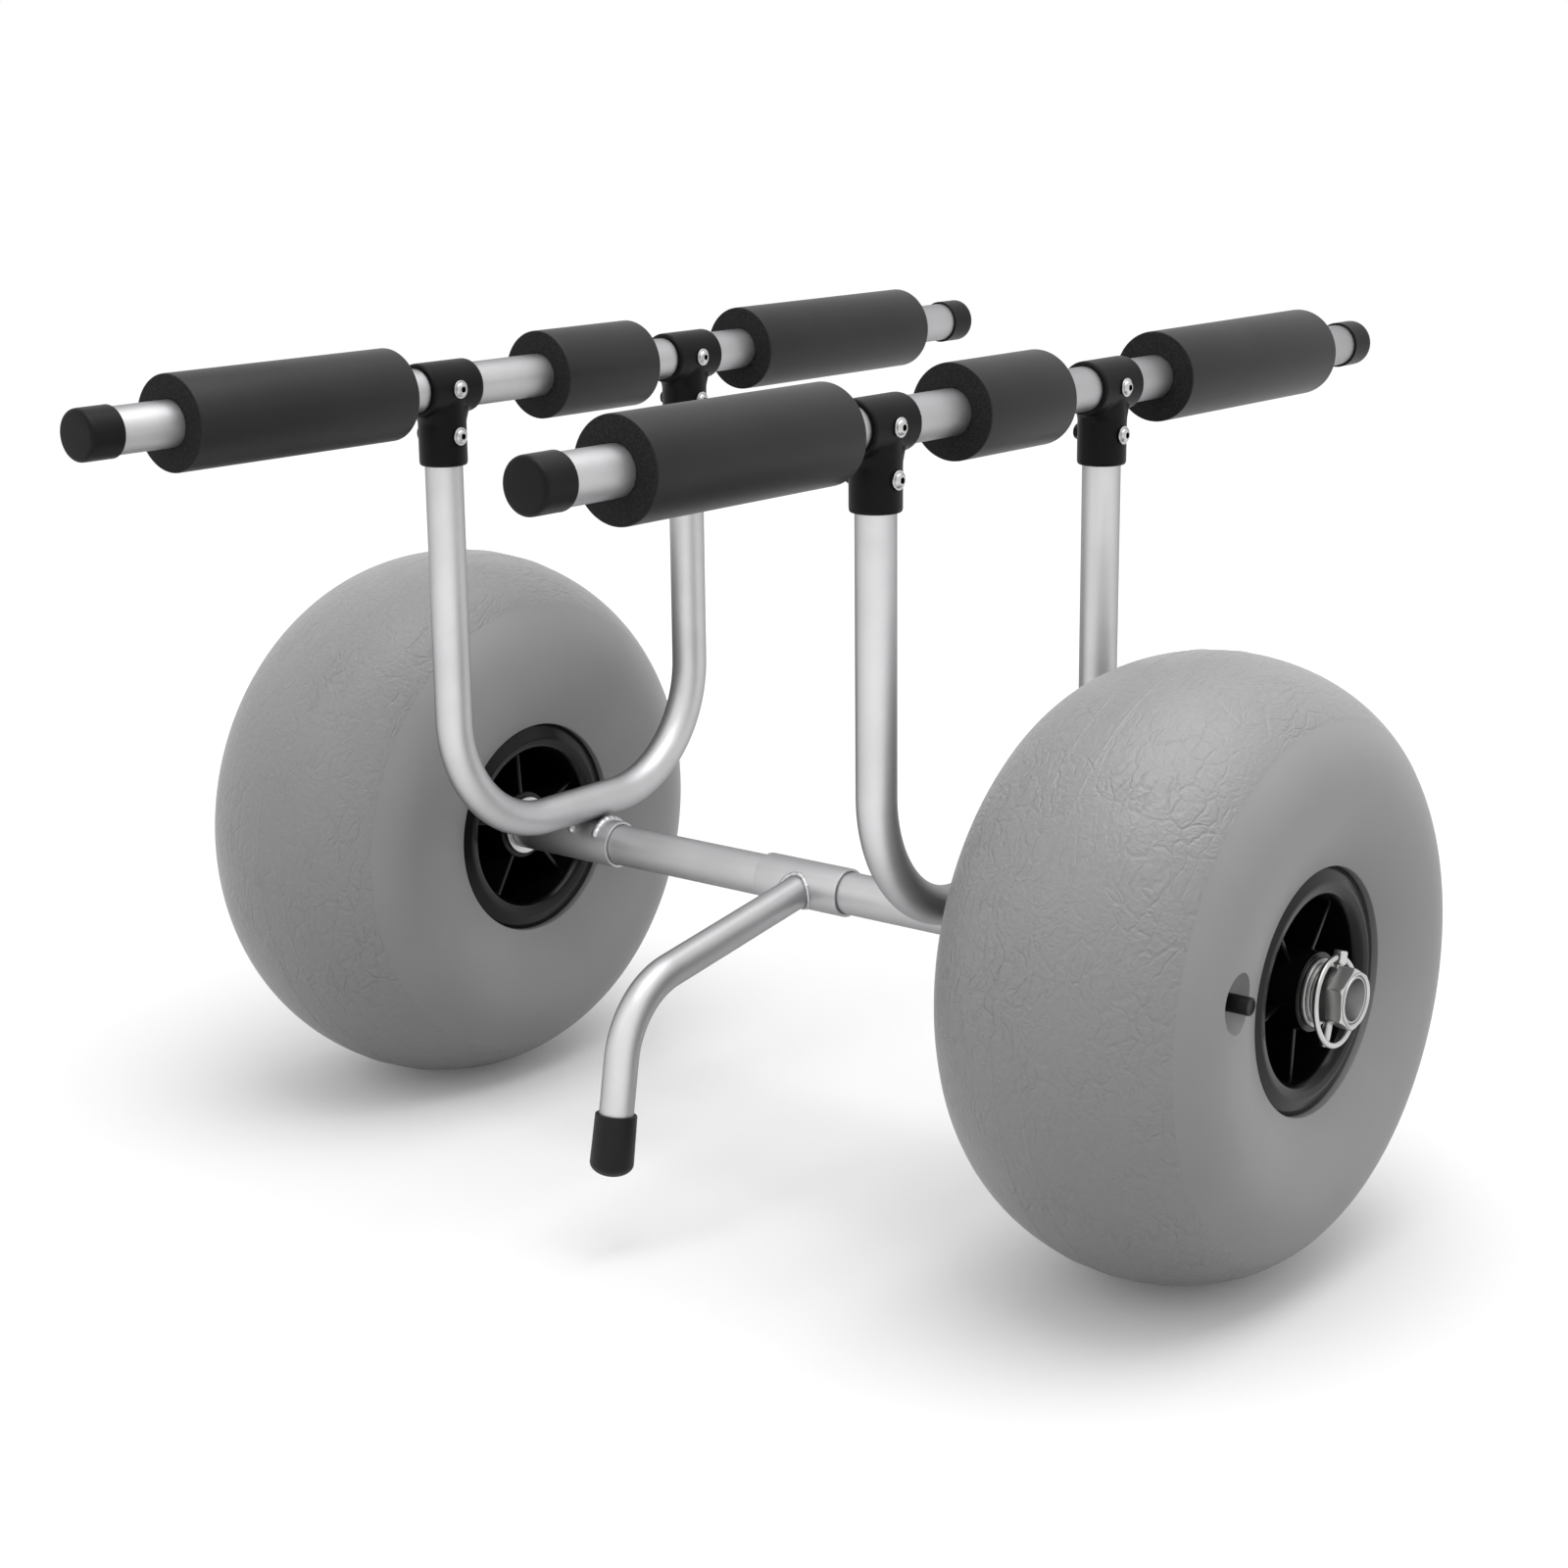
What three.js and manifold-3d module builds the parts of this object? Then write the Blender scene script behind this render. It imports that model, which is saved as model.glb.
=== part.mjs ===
// Kayak cart: two low-pressure balloon wheels on a tube axle, two U-shaped frames that slide on the
// axle, a padded bunk bar bolted across the legs of each frame, and a swing-down kickstand.
// Millimetres. +X runs along the axle from the left wheel to the right one, +Y along the bunk bars
// away from the kickstand, +Z up. The origin is on the ground under the middle of the bunk bars.

import * as THREE from 'three';
import { ConvexGeometry } from 'three/addons/geometries/ConvexGeometry.js';
import { mergeVertices } from 'three/addons/utils/BufferGeometryUtils.js';
import Module from 'manifold-3d';

const wasm = await Module();
wasm.setup();

// Clearances
const fitGap = 0.3; // between any two pieces that touch
const cutOverrun = 3; // how far a cutting tool passes the surface that it opens

// Wheels
const wheelTrack = 686; // between the middles of the two tyres
const tyreRadius = 210;
const tyreWidth = 208;
const tyreWidestShare = 0.421875; // place of its widest line, as a share of the way from rim to tread
const tyreWall = 5;
const beadStand = 1; // how far the edge of the side wall stands outside the rim's face
const rimRadius = 82;
const rimWidth = 177;
const rimFlange = 12; // thickness of the rolled lip, along the axle
const rimSeatDepth = 14; // from the rim's edge down to the bead seat
const rimLipBand = 20; // width of the rolled lip, seen from the side
const rimLipCrown = 4; // how far the lip is rounded off at its two edges
const dishWall = 6; // thickness of the barrel at the web
const dishTaper = 5; // how much narrower the dish is at the web than at the lip
const hubWeb = 8;
const hubBossRadius = 26.5;
const hubBossRecess = 12.5; // the inner end of the boss lies this far inside the rim's face
const hubRibs = 5;
const hubRibTurn = 49.4; // degrees of the first rib from +Y, turning towards +Z
const hubRibThickness = 4;
const hubRibShare = 0.84; // height of a rib, as a share of the dish's depth
const wheelTurns = { left: 180, right: 0 }; // degrees that each wheel has rolled

// Wheel bushings and thrust washers
const bushingBarrelRadius = 18;
const bushingBarrelLength = 26;
const bushingFlangeRadius = 22.5;
const bushingFlange = 2.4;
const washerRadius = 20;
const washerThickness = 1.6;

// Tyre valve
const valveRadius = 5.8;
const valveLength = 23;
const valveCentreRadius = 132; // from the axle
const valveAngle = 167; // degrees from +Y, turning towards +Z
const valveDimpleRadius = 19;
const valveDimpleDepth = 13;
const valvePocket = 2;

// Axle
const tubeDiameter = 31; // the axle and the two bunk bars
const tubeWall = 1.6;
const axleOffset = -7; // the axle lies this far from the middle of the bunk bars

// Hexagon collar on each end of the axle
const collarNeckRadius = 18;
const collarNeckLength = 11;
const collarHexWidth = 36.6; // across the flats
const collarHexLength = 11.5;
const collarFaceRadius = 19.4; // the turned face in front of the hexagon
const collarFaceLength = 1.2;
const axleInset = 1.5; // the axle ends this far inside the collar's face

// Linch pins and their spring rings
const linchPinRadius = 3;
const linchPinShare = 0.6; // place of the pin along the collar's neck
const linchTipProud = 1.2; // how far the tip reaches past the middle of the ring's wire
const linchHeadWidth = 9;
const linchHeadThickness = 7.2; // along the axle
const linchHeadFoot = 4.3; // of the flat head, below the eye that the ring passes through
const linchHeadTop = 6.7; // and above it
const linchRingRadius = 28.3; // to the middle of the wire
const linchWireRadius = 2;
const linchRingClear = 1.2; // between the ring and the corners of the hexagon, at the eye
const linchTilt = 17; // degrees that the pin leans towards +Y

// Kickstand
const kickPlace = 17.5; // distance of the kickstand from the cart's middle, along the axle
const sleeveWall = 2;
const kickSleeveLength = 74;
const kickTubeDiameter = 24;
const kickTubeWall = 2;
const kickReach = 203.6; // from the axle's centre to the corner of the bend, along the first run
const kickDrop = 9; // degrees of the first run below the horizontal
const kickBend = 71; // degrees of the bend
const kickBendRadius = 62;
const kickLeg = 118; // from the corner of the bend to the tube's lower end
const footLength = 43.5;
const footWall = 2.2;
const footFlare = 0.7;
const footBase = 7; // rubber under the end of the tube
const footDomeShare = 0.62; // height of the domed end, as a share of the foot's radius

// U-shaped frames
const frameSpacing = 381; // between the two frames, along the axle
const legSpacing = 263.5;
const legOffset = -24.8; // middle of the legs, from the middle of the bunk bars
const legDiameter = 27;
const legWall = 2;
const frameBendRadius = 93;
const frameSleeveInner = 24.6; // the sleeve reaches this far past the legs, towards the cart's middle
const weldRadius = 4.2;
const weldPlace = 10.5; // of each weld bead from the middle of the frame's tube
const weldSpread = 50; // degrees that a weld bead runs down the sleeve from its crest
const kickWeldSink = 1.8; // how far the middle of the kickstand's bead lies under the sleeve's crest

// Bunk bars, their tee fittings and caps
const barLength = 948; // over the caps
const barHeight = 573; // of the bar's middle above the ground
const teeLength = 50; // along the bar
const teeWallBar = 3.1;
const teeWallLeg = 3.4;
const teeDrop = 54.5; // from the bar's middle to the lower rim
const teeFillet = 5;
const teeEdge = 1;
const teeCover = 1.2; // between the top of a leg and the bar
const legBoltDrop = 33;
const boltRadius = 3;
const boltFlangeRadius = 6.4;
const boltFlange = 1.1; // thickness of the flange under the domed head
const boltHeadRadius = 5;
const boltHeadHeight = 3.4; // with its flange
const boltCrownRadius = 3.3; // flat top of the domed head
const boltSocketWidth = 4;
const boltSocketDepth = 2;
const boltEndProud = 0.4;
const nutWidth = 10;
const nutHeight = 3.2;
const capLength = 26;
const capWall = 1.4;
const capBase = 3; // thickness of the closed end
const capEdge = 2.6;

// Foam pads
const padDiameter = 64;
const frontPadInset = 74; // from the front end of the bar to the foam
const frontPadGap = 26.45; // from the foam to the tee
const rearPadInset = 87;
const rearPadGap = 43.05;
const middlePadLength = 100;
const leftMiddlePadShift = 17.8; // from midway between the tees towards the rear one
const rightMiddlePadShift = -0.2;

// Facets
const tyreSides = 36;
const tyreArcSteps = 7; // from the tread's middle to the widest place
const tyreWallSteps = 3; // and from there to the rim
const tyreInsideSteps = 10;
const hubSides = 28;
const tubeSides = 18;
const legSides = 14;
const boreSides = 8; // inside of a bent tube
const bendSteps = 6;
const smallSides = 10;
const holeSides = 8;
const wireSides = 6;

// Colours
const tyreGrey = 0x979899;
const aluminium = 0xc6c7c9;
const blackPlastic = 0x1b1b1c;
const foamBlack = 0x161616;
const stainless = 0xb9b7b2;
const bronze = 0xa8a6a2;

const tyreWidestRadius = rimRadius + tyreWidestShare * (tyreRadius - rimRadius);
const halfTrack = wheelTrack / 2;
const halfRim = rimWidth / 2;
const tubeRadius = tubeDiameter / 2;
const legRadius = legDiameter / 2;
const kickTubeRadius = kickTubeDiameter / 2;
const sleeveBore = tubeRadius + fitGap;
const sleeveRadius = sleeveBore + sleeveWall;
const framePlace = frameSpacing / 2;
const bossInner = halfRim - hubBossRecess;
const beadSeat = rimRadius - rimSeatDepth + fitGap;
const beadOuter = halfRim - rimFlange - fitGap;
const beadInner = beadOuter - 2 * tyreWall;
const frameBottom = sleeveRadius + fitGap + legRadius; // above the axle's middle
const legTop = barHeight - tyreRadius - sleeveBore - teeCover - fitGap; // above the axle's middle
const legBoltHeight = barHeight - legBoltDrop;
const collarCorner = collarHexWidth / Math.sqrt(3);
const linchPinEye = collarCorner + linchWireRadius + linchRingClear; // above the axle's middle
const linchPinTip = 2 * linchRingRadius - linchPinEye + linchTipProud; // below the axle's middle
const teeBarRadius = sleeveBore + teeWallBar;
const teeLegRadius = legRadius + fitGap + teeWallLeg;
const sides = [['left', -1], ['right', 1]];

// Places along +X from the middle of a wheel, going outwards
const washerPlace = halfRim + bushingFlange + 2 * fitGap;
const collarPlace = washerPlace + washerThickness + fitGap;
const collarEnd = collarPlace + collarNeckLength + collarHexLength + collarFaceLength;
const pinPlace = collarPlace + collarNeckLength * linchPinShare;

const radians = THREE.MathUtils.degToRad;

function finish(color, roughness, metalness) {
  return new THREE.MeshStandardMaterial({ color, roughness, metalness });
}

function addMesh(parent, name, geometry, material, x = 0, y = 0, z = 0) {
  const mesh = new THREE.Mesh(geometry, material);
  mesh.name = name;
  mesh.position.set(x, y, z);
  parent.add(mesh);
  return mesh;
}

// Signed volume of a closed geometry, positive when its faces point outwards
function signedVolume(position, index) {
  const a = new THREE.Vector3();
  const b = new THREE.Vector3();
  const c = new THREE.Vector3();
  let sum = 0;
  for (let i = 0; i < index.length; i += 3) {
    a.fromBufferAttribute(position, index[i]);
    b.fromBufferAttribute(position, index[i + 1]);
    c.fromBufferAttribute(position, index[i + 2]);
    sum += a.dot(b.cross(c));
  }
  return sum;
}

// One closed geometry with shared corners, no empty triangles and its faces pointing outwards
function closed(source) {
  const bare = source.clone();
  bare.deleteAttribute('normal');
  bare.deleteAttribute('uv');
  const merged = mergeVertices(bare);
  const kept = [];
  const all = merged.index.array;
  for (let i = 0; i < all.length; i += 3) {
    const [a, b, c] = [all[i], all[i + 1], all[i + 2]];
    if (a !== b && b !== c && c !== a) kept.push(a, b, c);
  }
  if (signedVolume(merged.attributes.position, kept) < 0) kept.reverse();
  merged.setIndex(kept);
  return merged;
}

function toSolid(geometry) {
  const body = closed(geometry);
  const vertProperties = new Float32Array(body.attributes.position.array);
  const triVerts = new Uint32Array(body.index.array);
  return new wasm.Manifold(new wasm.Mesh({ numProp: 3, vertProperties, triVerts }));
}

function toGeometry(solid) {
  const mesh = solid.getMesh();
  const geometry = new THREE.BufferGeometry();
  geometry.setAttribute('position', new THREE.BufferAttribute(mesh.vertProperties, 3));
  geometry.setIndex(new THREE.BufferAttribute(mesh.triVerts, 1));
  return geometry;
}

function joined(parts) {
  return parts.reduce((sum, part) => sum.add(part));
}

function cutBy(body, tools) {
  return tools.reduce((rest, tool) => rest.subtract(tool), body);
}

// Turned piece about +X. The profile lists [place along X, radius] and ends on the axis or closes
// on itself; flat turns it by half a facet, so that a facet and not a corner is lowest.
function turned(profile, sides, flat = false) {
  const points = profile.map(([along, radius]) => new THREE.Vector2(radius, along));
  const start = flat ? Math.PI / sides : 0;
  const geometry = new THREE.LatheGeometry(points, sides, start);
  return closed(geometry.rotateZ(-Math.PI / 2));
}

function rod(radius, from, to, sides) {
  return turned([[from, 0], [from, radius], [to, radius], [to, 0]], sides);
}

function pipe(outer, inner, from, to, sides, flat = false) {
  return turned([[from, inner], [from, outer], [to, outer], [to, inner], [from, inner]], sides, flat);
}

function alongY(geometry) {
  return geometry.rotateZ(Math.PI / 2);
}

function alongZ(geometry) {
  return geometry.rotateY(-Math.PI / 2);
}

function circlePoints(radius, sides) {
  const points = [];
  for (let i = 0; i < sides; i += 1) {
    const angle = (2 * Math.PI * i) / sides;
    points.push(new THREE.Vector2(radius * Math.cos(angle), radius * Math.sin(angle)));
  }
  return points;
}

// Points on an arc about a centre, from one angle to another in degrees
function arcPoints(x, y, radius, from, to, steps) {
  const points = [];
  for (let i = 0; i <= steps; i += 1) {
    const angle = radians(from + ((to - from) * i) / steps);
    points.push([x + radius * Math.cos(angle), y + radius * Math.sin(angle)]);
  }
  return points;
}

// A tube's centre line through straight runs and bends, with its own number of steps for each
class TubePath extends THREE.Curve {
  constructor(points) {
    super();
    this.points = points;
  }

  getPoint(t, target = new THREE.Vector3()) {
    const place = t * (this.points.length - 1);
    const index = Math.min(Math.floor(place), this.points.length - 2);
    return target.lerpVectors(this.points[index], this.points[index + 1], place - index);
  }

  getPointAt(u, target) {
    return this.getPoint(u, target);
  }

  runDirection(index) {
    const run = Math.min(Math.max(index, 0), this.points.length - 2);
    return this.points[run + 1].clone().sub(this.points[run]).normalize();
  }

  // At a bend the section lies square to the mean of the two runs that meet there
  getTangentAt(u, target = new THREE.Vector3()) {
    const index = Math.round(u * (this.points.length - 1));
    return target.copy(this.runDirection(index - 1)).add(this.runDirection(index)).normalize();
  }
}

// A bent tube in the YZ plane; corners lists [y, z] of its centre line
function bentTube(corners, outer, inner, sides) {
  const path = new TubePath(corners.map(([y, z]) => new THREE.Vector3(0, y, z)));
  const section = new THREE.Shape(circlePoints(outer, sides));
  section.holes.push(new THREE.Path(circlePoints(inner, boreSides)));
  return closed(new THREE.ExtrudeGeometry(section, { steps: corners.length - 1, extrudePath: path }));
}

// How far the outside of the tyre lies from its middle at a distance from the axle
function tyreSurface(radius) {
  const half = tyreWidth / 2;
  if (radius < tyreWidestRadius) {
    const depth = (tyreWidestRadius - radius) / (tyreWidestRadius - rimRadius);
    return half - (half - halfRim - beadStand) * depth ** 2;
  }
  const height = (radius - tyreWidestRadius) / (tyreRadius - tyreWidestRadius);
  return half * Math.sqrt(1 - height ** 2);
}

// Half of the tyre's section from beside the tread's middle down to the bead seat, as [x, radius]
function tyreHalfSection(side) {
  const rise = tyreRadius - tyreWidestRadius;
  const edge = rimRadius + fitGap;
  const points = [];
  for (let i = 1; i <= tyreArcSteps; i += 1) {
    const angle = (Math.PI / 2) * (1 - i / tyreArcSteps);
    points.push([(tyreWidth / 2) * Math.cos(angle), tyreWidestRadius + rise * Math.sin(angle)]);
  }
  for (let i = 1; i <= tyreWallSteps; i += 1) {
    const radius = tyreWidestRadius + ((edge - tyreWidestRadius) * i) / tyreWallSteps;
    points.push([tyreSurface(radius), radius]);
  }
  points.push([beadOuter, edge], [beadOuter, beadSeat]);
  return points.map(([x, radius]) => [side * x, radius]);
}

// Inside of the tyre, from its left bead over the crown to its right one
function tyreInside() {
  const halfWidth = tyreWidth / 2 - tyreWall;
  const rise = tyreRadius - tyreWidestRadius - tyreWall;
  const toe = rimRadius + fitGap + tyreWall;
  const start = Math.asin((toe - tyreWidestRadius) / rise);
  const points = [[-beadInner, beadSeat], [-beadInner, toe]];
  for (let i = 0; i <= tyreInsideSteps; i += 1) {
    const angle = Math.PI - start + ((2 * start - Math.PI) * i) / tyreInsideSteps;
    points.push([halfWidth * Math.cos(angle), tyreWidestRadius + rise * Math.sin(angle)]);
  }
  points.push([beadInner, toe], [beadInner, beadSeat]);
  return points;
}

// Closed section; its radii are raised so that the lowest facet, not its corners, meets the ground
function tyreLoop(inside) {
  const left = tyreHalfSection(-1);
  const right = tyreHalfSection(1).reverse();
  const loop = [...right, [0, tyreRadius], ...left, ...inside, right[0]];
  const raise = 1 / Math.cos(Math.PI / tyreSides);
  return loop.map(([x, radius]) => [x, radius * raise]);
}

function valveCentre() {
  const angle = radians(valveAngle);
  return [valveCentreRadius * Math.cos(angle), valveCentreRadius * Math.sin(angle)];
}

function ball(radius) {
  return new THREE.SphereGeometry(radius, tubeSides, smallSides);
}

// Shell of the tyre with a thicker patch round the valve, and the hollow that the valve stands in
function tyreGeometry() {
  const shell = toSolid(turned(tyreLoop(tyreInside()), tyreSides, true));
  const ends = [[-beadInner, beadSeat], [beadInner, beadSeat]];
  const filled = toSolid(turned(tyreLoop(ends), tyreSides, true));
  const surface = tyreSurface(valveCentreRadius);
  const hollowRadius = (valveDimpleRadius ** 2 + valveDimpleDepth ** 2) / (2 * valveDimpleDepth);
  const hollowX = surface - valveDimpleDepth + hollowRadius;
  const [y, z] = valveCentre();
  const hollow = toSolid(ball(hollowRadius).translate(hollowX, y, z));
  const patch = toSolid(ball(hollowRadius + tyreWall).translate(hollowX, y, z));
  const seat = rod(valveRadius + fitGap, surface - valveDimpleDepth - valvePocket, surface, smallSides);
  const body = shell.add(patch.intersect(filled));
  return toGeometry(cutBy(body, [hollow, toSolid(seat.translate(0, y, z))]));
}

function valveGeometry() {
  const base = tyreSurface(valveCentreRadius) - valveDimpleDepth - valvePocket + fitGap;
  const chamfer = valveRadius / 4;
  const end = base + valveLength;
  return turned([
    [base, 0],
    [base, valveRadius],
    [end - chamfer, valveRadius],
    [end, valveRadius - chamfer],
    [end, 0],
  ], smallSides);
}

// One side of the hub, from the bead seat over the rolled lip and down the dish to the web
function hubSide() {
  const lipInner = rimRadius - rimLipBand;
  const root = rimRadius - rimSeatDepth - dishWall - dishTaper;
  return [
    [halfRim - rimFlange, rimRadius - rimSeatDepth],
    [halfRim - rimFlange, rimRadius],
    [halfRim - rimLipCrown, rimRadius],
    [halfRim - rimLipCrown / 4, rimRadius - rimLipCrown / 2],
    [halfRim, rimRadius - rimLipCrown],
    [halfRim - rimLipCrown / 4, lipInner + rimLipCrown],
    [halfRim - 2 * rimLipCrown, lipInner],
    [hubWeb / 2 + dishTaper, root],
    [hubWeb / 2, root - dishTaper],
  ];
}

function hubRib(turn, side) {
  const inner = hubBossRadius - hubRibThickness;
  const outer = rimRadius - rimSeatDepth - dishWall / 2;
  const height = hubWeb / 2 + (halfRim - hubWeb / 2) * hubRibShare;
  const shape = new THREE.Shape([
    new THREE.Vector2(0, inner),
    new THREE.Vector2(height, inner),
    new THREE.Vector2(height, outer),
    new THREE.Vector2(0, outer),
  ]);
  const plate = new THREE.ExtrudeGeometry(shape, { depth: hubRibThickness, bevelEnabled: false });
  plate.translate(0, 0, -hubRibThickness / 2);
  plate.rotateY(side > 0 ? 0 : Math.PI);
  return toSolid(plate.rotateX(turn));
}

function hubGeometry() {
  const bore = bushingBarrelRadius + fitGap;
  const outside = hubSide();
  const inside = outside.map(([x, radius]) => [-x, radius]).reverse();
  const body = turned([
    [-bossInner, bore],
    [-bossInner, hubBossRadius],
    [-hubWeb / 2, hubBossRadius],
    ...inside,
    ...outside,
    [hubWeb / 2, hubBossRadius],
    [halfRim, hubBossRadius],
    [halfRim, bore],
    [-bossInner, bore],
  ], hubSides);
  const ribs = [];
  for (let i = 0; i < hubRibs; i += 1) {
    const turn = radians(hubRibTurn) + (2 * Math.PI * i) / hubRibs;
    ribs.push(hubRib(turn, 1), hubRib(turn, -1));
  }
  return toGeometry(joined([toSolid(body), ...ribs]));
}

// Flanged bushing; its barrel runs towards -X from the flange's back at zero
function bushingGeometry() {
  return turned([
    [bushingFlange, sleeveBore],
    [bushingFlange, bushingFlangeRadius],
    [0, bushingFlangeRadius],
    [0, bushingBarrelRadius],
    [-bushingBarrelLength, bushingBarrelRadius],
    [-bushingBarrelLength, sleeveBore],
    [bushingFlange, sleeveBore],
  ], tubeSides);
}

// One wheel about the origin, its outer side towards +X
function addWheel(parent, side) {
  addMesh(parent, `${side}_tyre`, tyreGeometry(), finish(tyreGrey, 0.6, 0));
  addMesh(parent, `${side}_hub`, hubGeometry(), finish(blackPlastic, 0.35, 0));
  const [y, z] = valveCentre();
  addMesh(parent, `${side}_valve`, valveGeometry(), finish(blackPlastic, 0.6, 0), 0, y, z);
  const outer = bushingGeometry().translate(halfRim + fitGap, 0, 0);
  const inner = bushingGeometry().rotateZ(Math.PI).translate(-bossInner - fitGap, 0, 0);
  addMesh(parent, `${side}_outer_bushing`, outer, finish(bronze, 0.3, 0.9));
  addMesh(parent, `${side}_inner_bushing`, inner, finish(bronze, 0.3, 0.9));
}

function linchPinTool() {
  const reach = linchPinTip + cutOverrun;
  return alongZ(rod(linchPinRadius + fitGap, -reach, reach, smallSides)).rotateX(-radians(linchTilt));
}

// Neck, hexagon and turned face of an axle collar, from its inner end at zero outwards
function collarGeometry() {
  const hexStart = collarNeckLength;
  const hexEnd = hexStart + collarHexLength;
  const end = hexEnd + collarFaceLength;
  const chamfer = collarCorner - collarFaceRadius;
  const neck = toSolid(rod(collarNeckRadius, 0, hexStart + cutOverrun, tubeSides));
  const blank = toSolid(turned([
    [hexStart, 0],
    [hexStart, collarNeckRadius + fitGap],
    [hexStart + cutOverrun, collarCorner + fitGap],
    [hexEnd - chamfer, collarCorner + fitGap],
    [hexEnd, collarFaceRadius - fitGap],
    [hexEnd, 0],
  ], tubeSides));
  const prism = toSolid(rod(collarCorner, hexStart - cutOverrun, hexEnd + cutOverrun, 6));
  const face = toSolid(rod(collarFaceRadius - chamfer, hexStart, end, tubeSides));
  const bore = toSolid(rod(sleeveBore, -cutOverrun, end + cutOverrun, tubeSides));
  const pinHole = toSolid(linchPinTool().translate(pinPlace - collarPlace, 0, 0));
  return toGeometry(cutBy(joined([neck, prism.intersect(blank), face]), [bore, pinHole]));
}

// Pin along Z with a flat drilled head at its upper end; the ring's wire passes through the head
function linchPinGeometry() {
  const foot = linchPinEye - linchHeadFoot;
  const length = linchHeadFoot + linchHeadTop;
  const shank = toSolid(alongZ(turned([
    [-linchPinTip, 0],
    [-linchPinTip, linchPinRadius / 2],
    [-linchPinTip + linchPinRadius / 2, linchPinRadius],
    [foot + linchHeadFoot / 2, linchPinRadius],
    [foot + linchHeadFoot / 2, 0],
  ], smallSides)));
  const head = new THREE.BoxGeometry(linchHeadThickness, linchHeadWidth, length);
  const reach = linchHeadWidth / 2 + cutOverrun;
  const eye = alongY(rod(linchWireRadius + 2 * fitGap, -reach, reach, smallSides));
  const solid = shank.add(toSolid(head.translate(0, 0, foot + length / 2)));
  return toGeometry(solid.subtract(toSolid(eye.translate(0, 0, linchPinEye))));
}

// Closed wire ring, tipped about the eye of the pin so that it rests beside the pin's tip
function linchRingGeometry() {
  const ring = new THREE.TorusGeometry(linchRingRadius, linchWireRadius, wireSides, tubeSides);
  const halfFacet = Math.PI / tubeSides;
  ring.rotateZ(halfFacet).rotateY(Math.PI / 2);
  ring.translate(0, 0, -linchRingRadius * Math.cos(halfFacet));
  const stand = linchPinRadius + linchWireRadius + fitGap;
  ring.rotateY(-Math.asin(stand / (2 * linchRingRadius)));
  return closed(ring.translate(0, 0, linchPinEye));
}

// What retains one wheel, about the wheel's middle with the outside towards +X
function addWheelRetainer(parent, side) {
  const washer = pipe(washerRadius, sleeveBore, washerPlace, washerPlace + washerThickness, tubeSides);
  addMesh(parent, `${side}_thrust_washer`, washer, finish(stainless, 0.3, 1));
  addMesh(parent, `${side}_axle_collar`, collarGeometry(), finish(stainless, 0.25, 1), collarPlace);
  const lean = new THREE.Group();
  lean.position.x = pinPlace;
  lean.rotation.x = -radians(linchTilt);
  parent.add(lean);
  addMesh(lean, `${side}_linch_pin`, linchPinGeometry(), finish(stainless, 0.25, 1));
  addMesh(lean, `${side}_linch_ring`, linchRingGeometry(), finish(stainless, 0.2, 1));
}

function axleGeometry() {
  const end = halfTrack + collarEnd - axleInset;
  const tube = toSolid(pipe(tubeRadius, tubeRadius - tubeWall, -end, end, tubeSides));
  const right = linchPinTool().translate(halfTrack + pinPlace, 0, 0);
  const left = linchPinTool().rotateZ(Math.PI).translate(-halfTrack - pinPlace, 0, 0);
  return toGeometry(cutBy(tube, [toSolid(right), toSolid(left)]));
}

function addAxle(parent) {
  addMesh(parent, 'axle_tube', axleGeometry(), finish(aluminium, 0.35, 0.9));
  for (const [side, sign] of sides) {
    const end = new THREE.Group();
    end.position.x = sign * halfTrack;
    end.rotation.z = sign > 0 ? 0 : Math.PI;
    parent.add(end);
    const wheel = new THREE.Group();
    wheel.rotation.x = radians(wheelTurns[side]);
    end.add(wheel);
    addWheel(wheel, side);
    addWheelRetainer(end, side);
  }
}

// Centre line of the kickstand from the axle's middle to the tube's lower end, as [y, z]
function kickLine() {
  const drop = radians(kickDrop);
  const fall = radians(kickDrop + kickBend);
  const corner = [-kickReach * Math.cos(drop), -kickReach * Math.sin(drop)];
  const start = 1 - (kickBendRadius * Math.tan(radians(kickBend) / 2)) / kickReach;
  const centreY = corner[0] * start + kickBendRadius * Math.sin(drop);
  const centreZ = corner[1] * start - kickBendRadius * Math.cos(drop);
  const from = 90 + kickDrop;
  const bend = arcPoints(centreY, centreZ, kickBendRadius, from, from + kickBend, bendSteps);
  const end = [corner[0] - kickLeg * Math.cos(fall), corner[1] - kickLeg * Math.sin(fall)];
  return [[0, 0], ...bend, end];
}

// The tube's upper end is cut to the curve of the sleeve that it is welded to
function kickTubeGeometry() {
  const tube = bentTube(kickLine(), kickTubeRadius, kickTubeRadius - kickTubeWall, legSides);
  const reach = kickTubeRadius + cutOverrun;
  const seat = toSolid(rod(sleeveRadius + fitGap, -reach, reach, tubeSides));
  return toGeometry(toSolid(tube).subtract(seat));
}

function sleeveSolid(from, to, beads) {
  const body = toSolid(rod(sleeveRadius, from, to, tubeSides));
  const bore = toSolid(rod(sleeveBore, from - cutOverrun, to + cutOverrun, tubeSides));
  return joined([body, ...beads]).subtract(bore);
}

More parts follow.
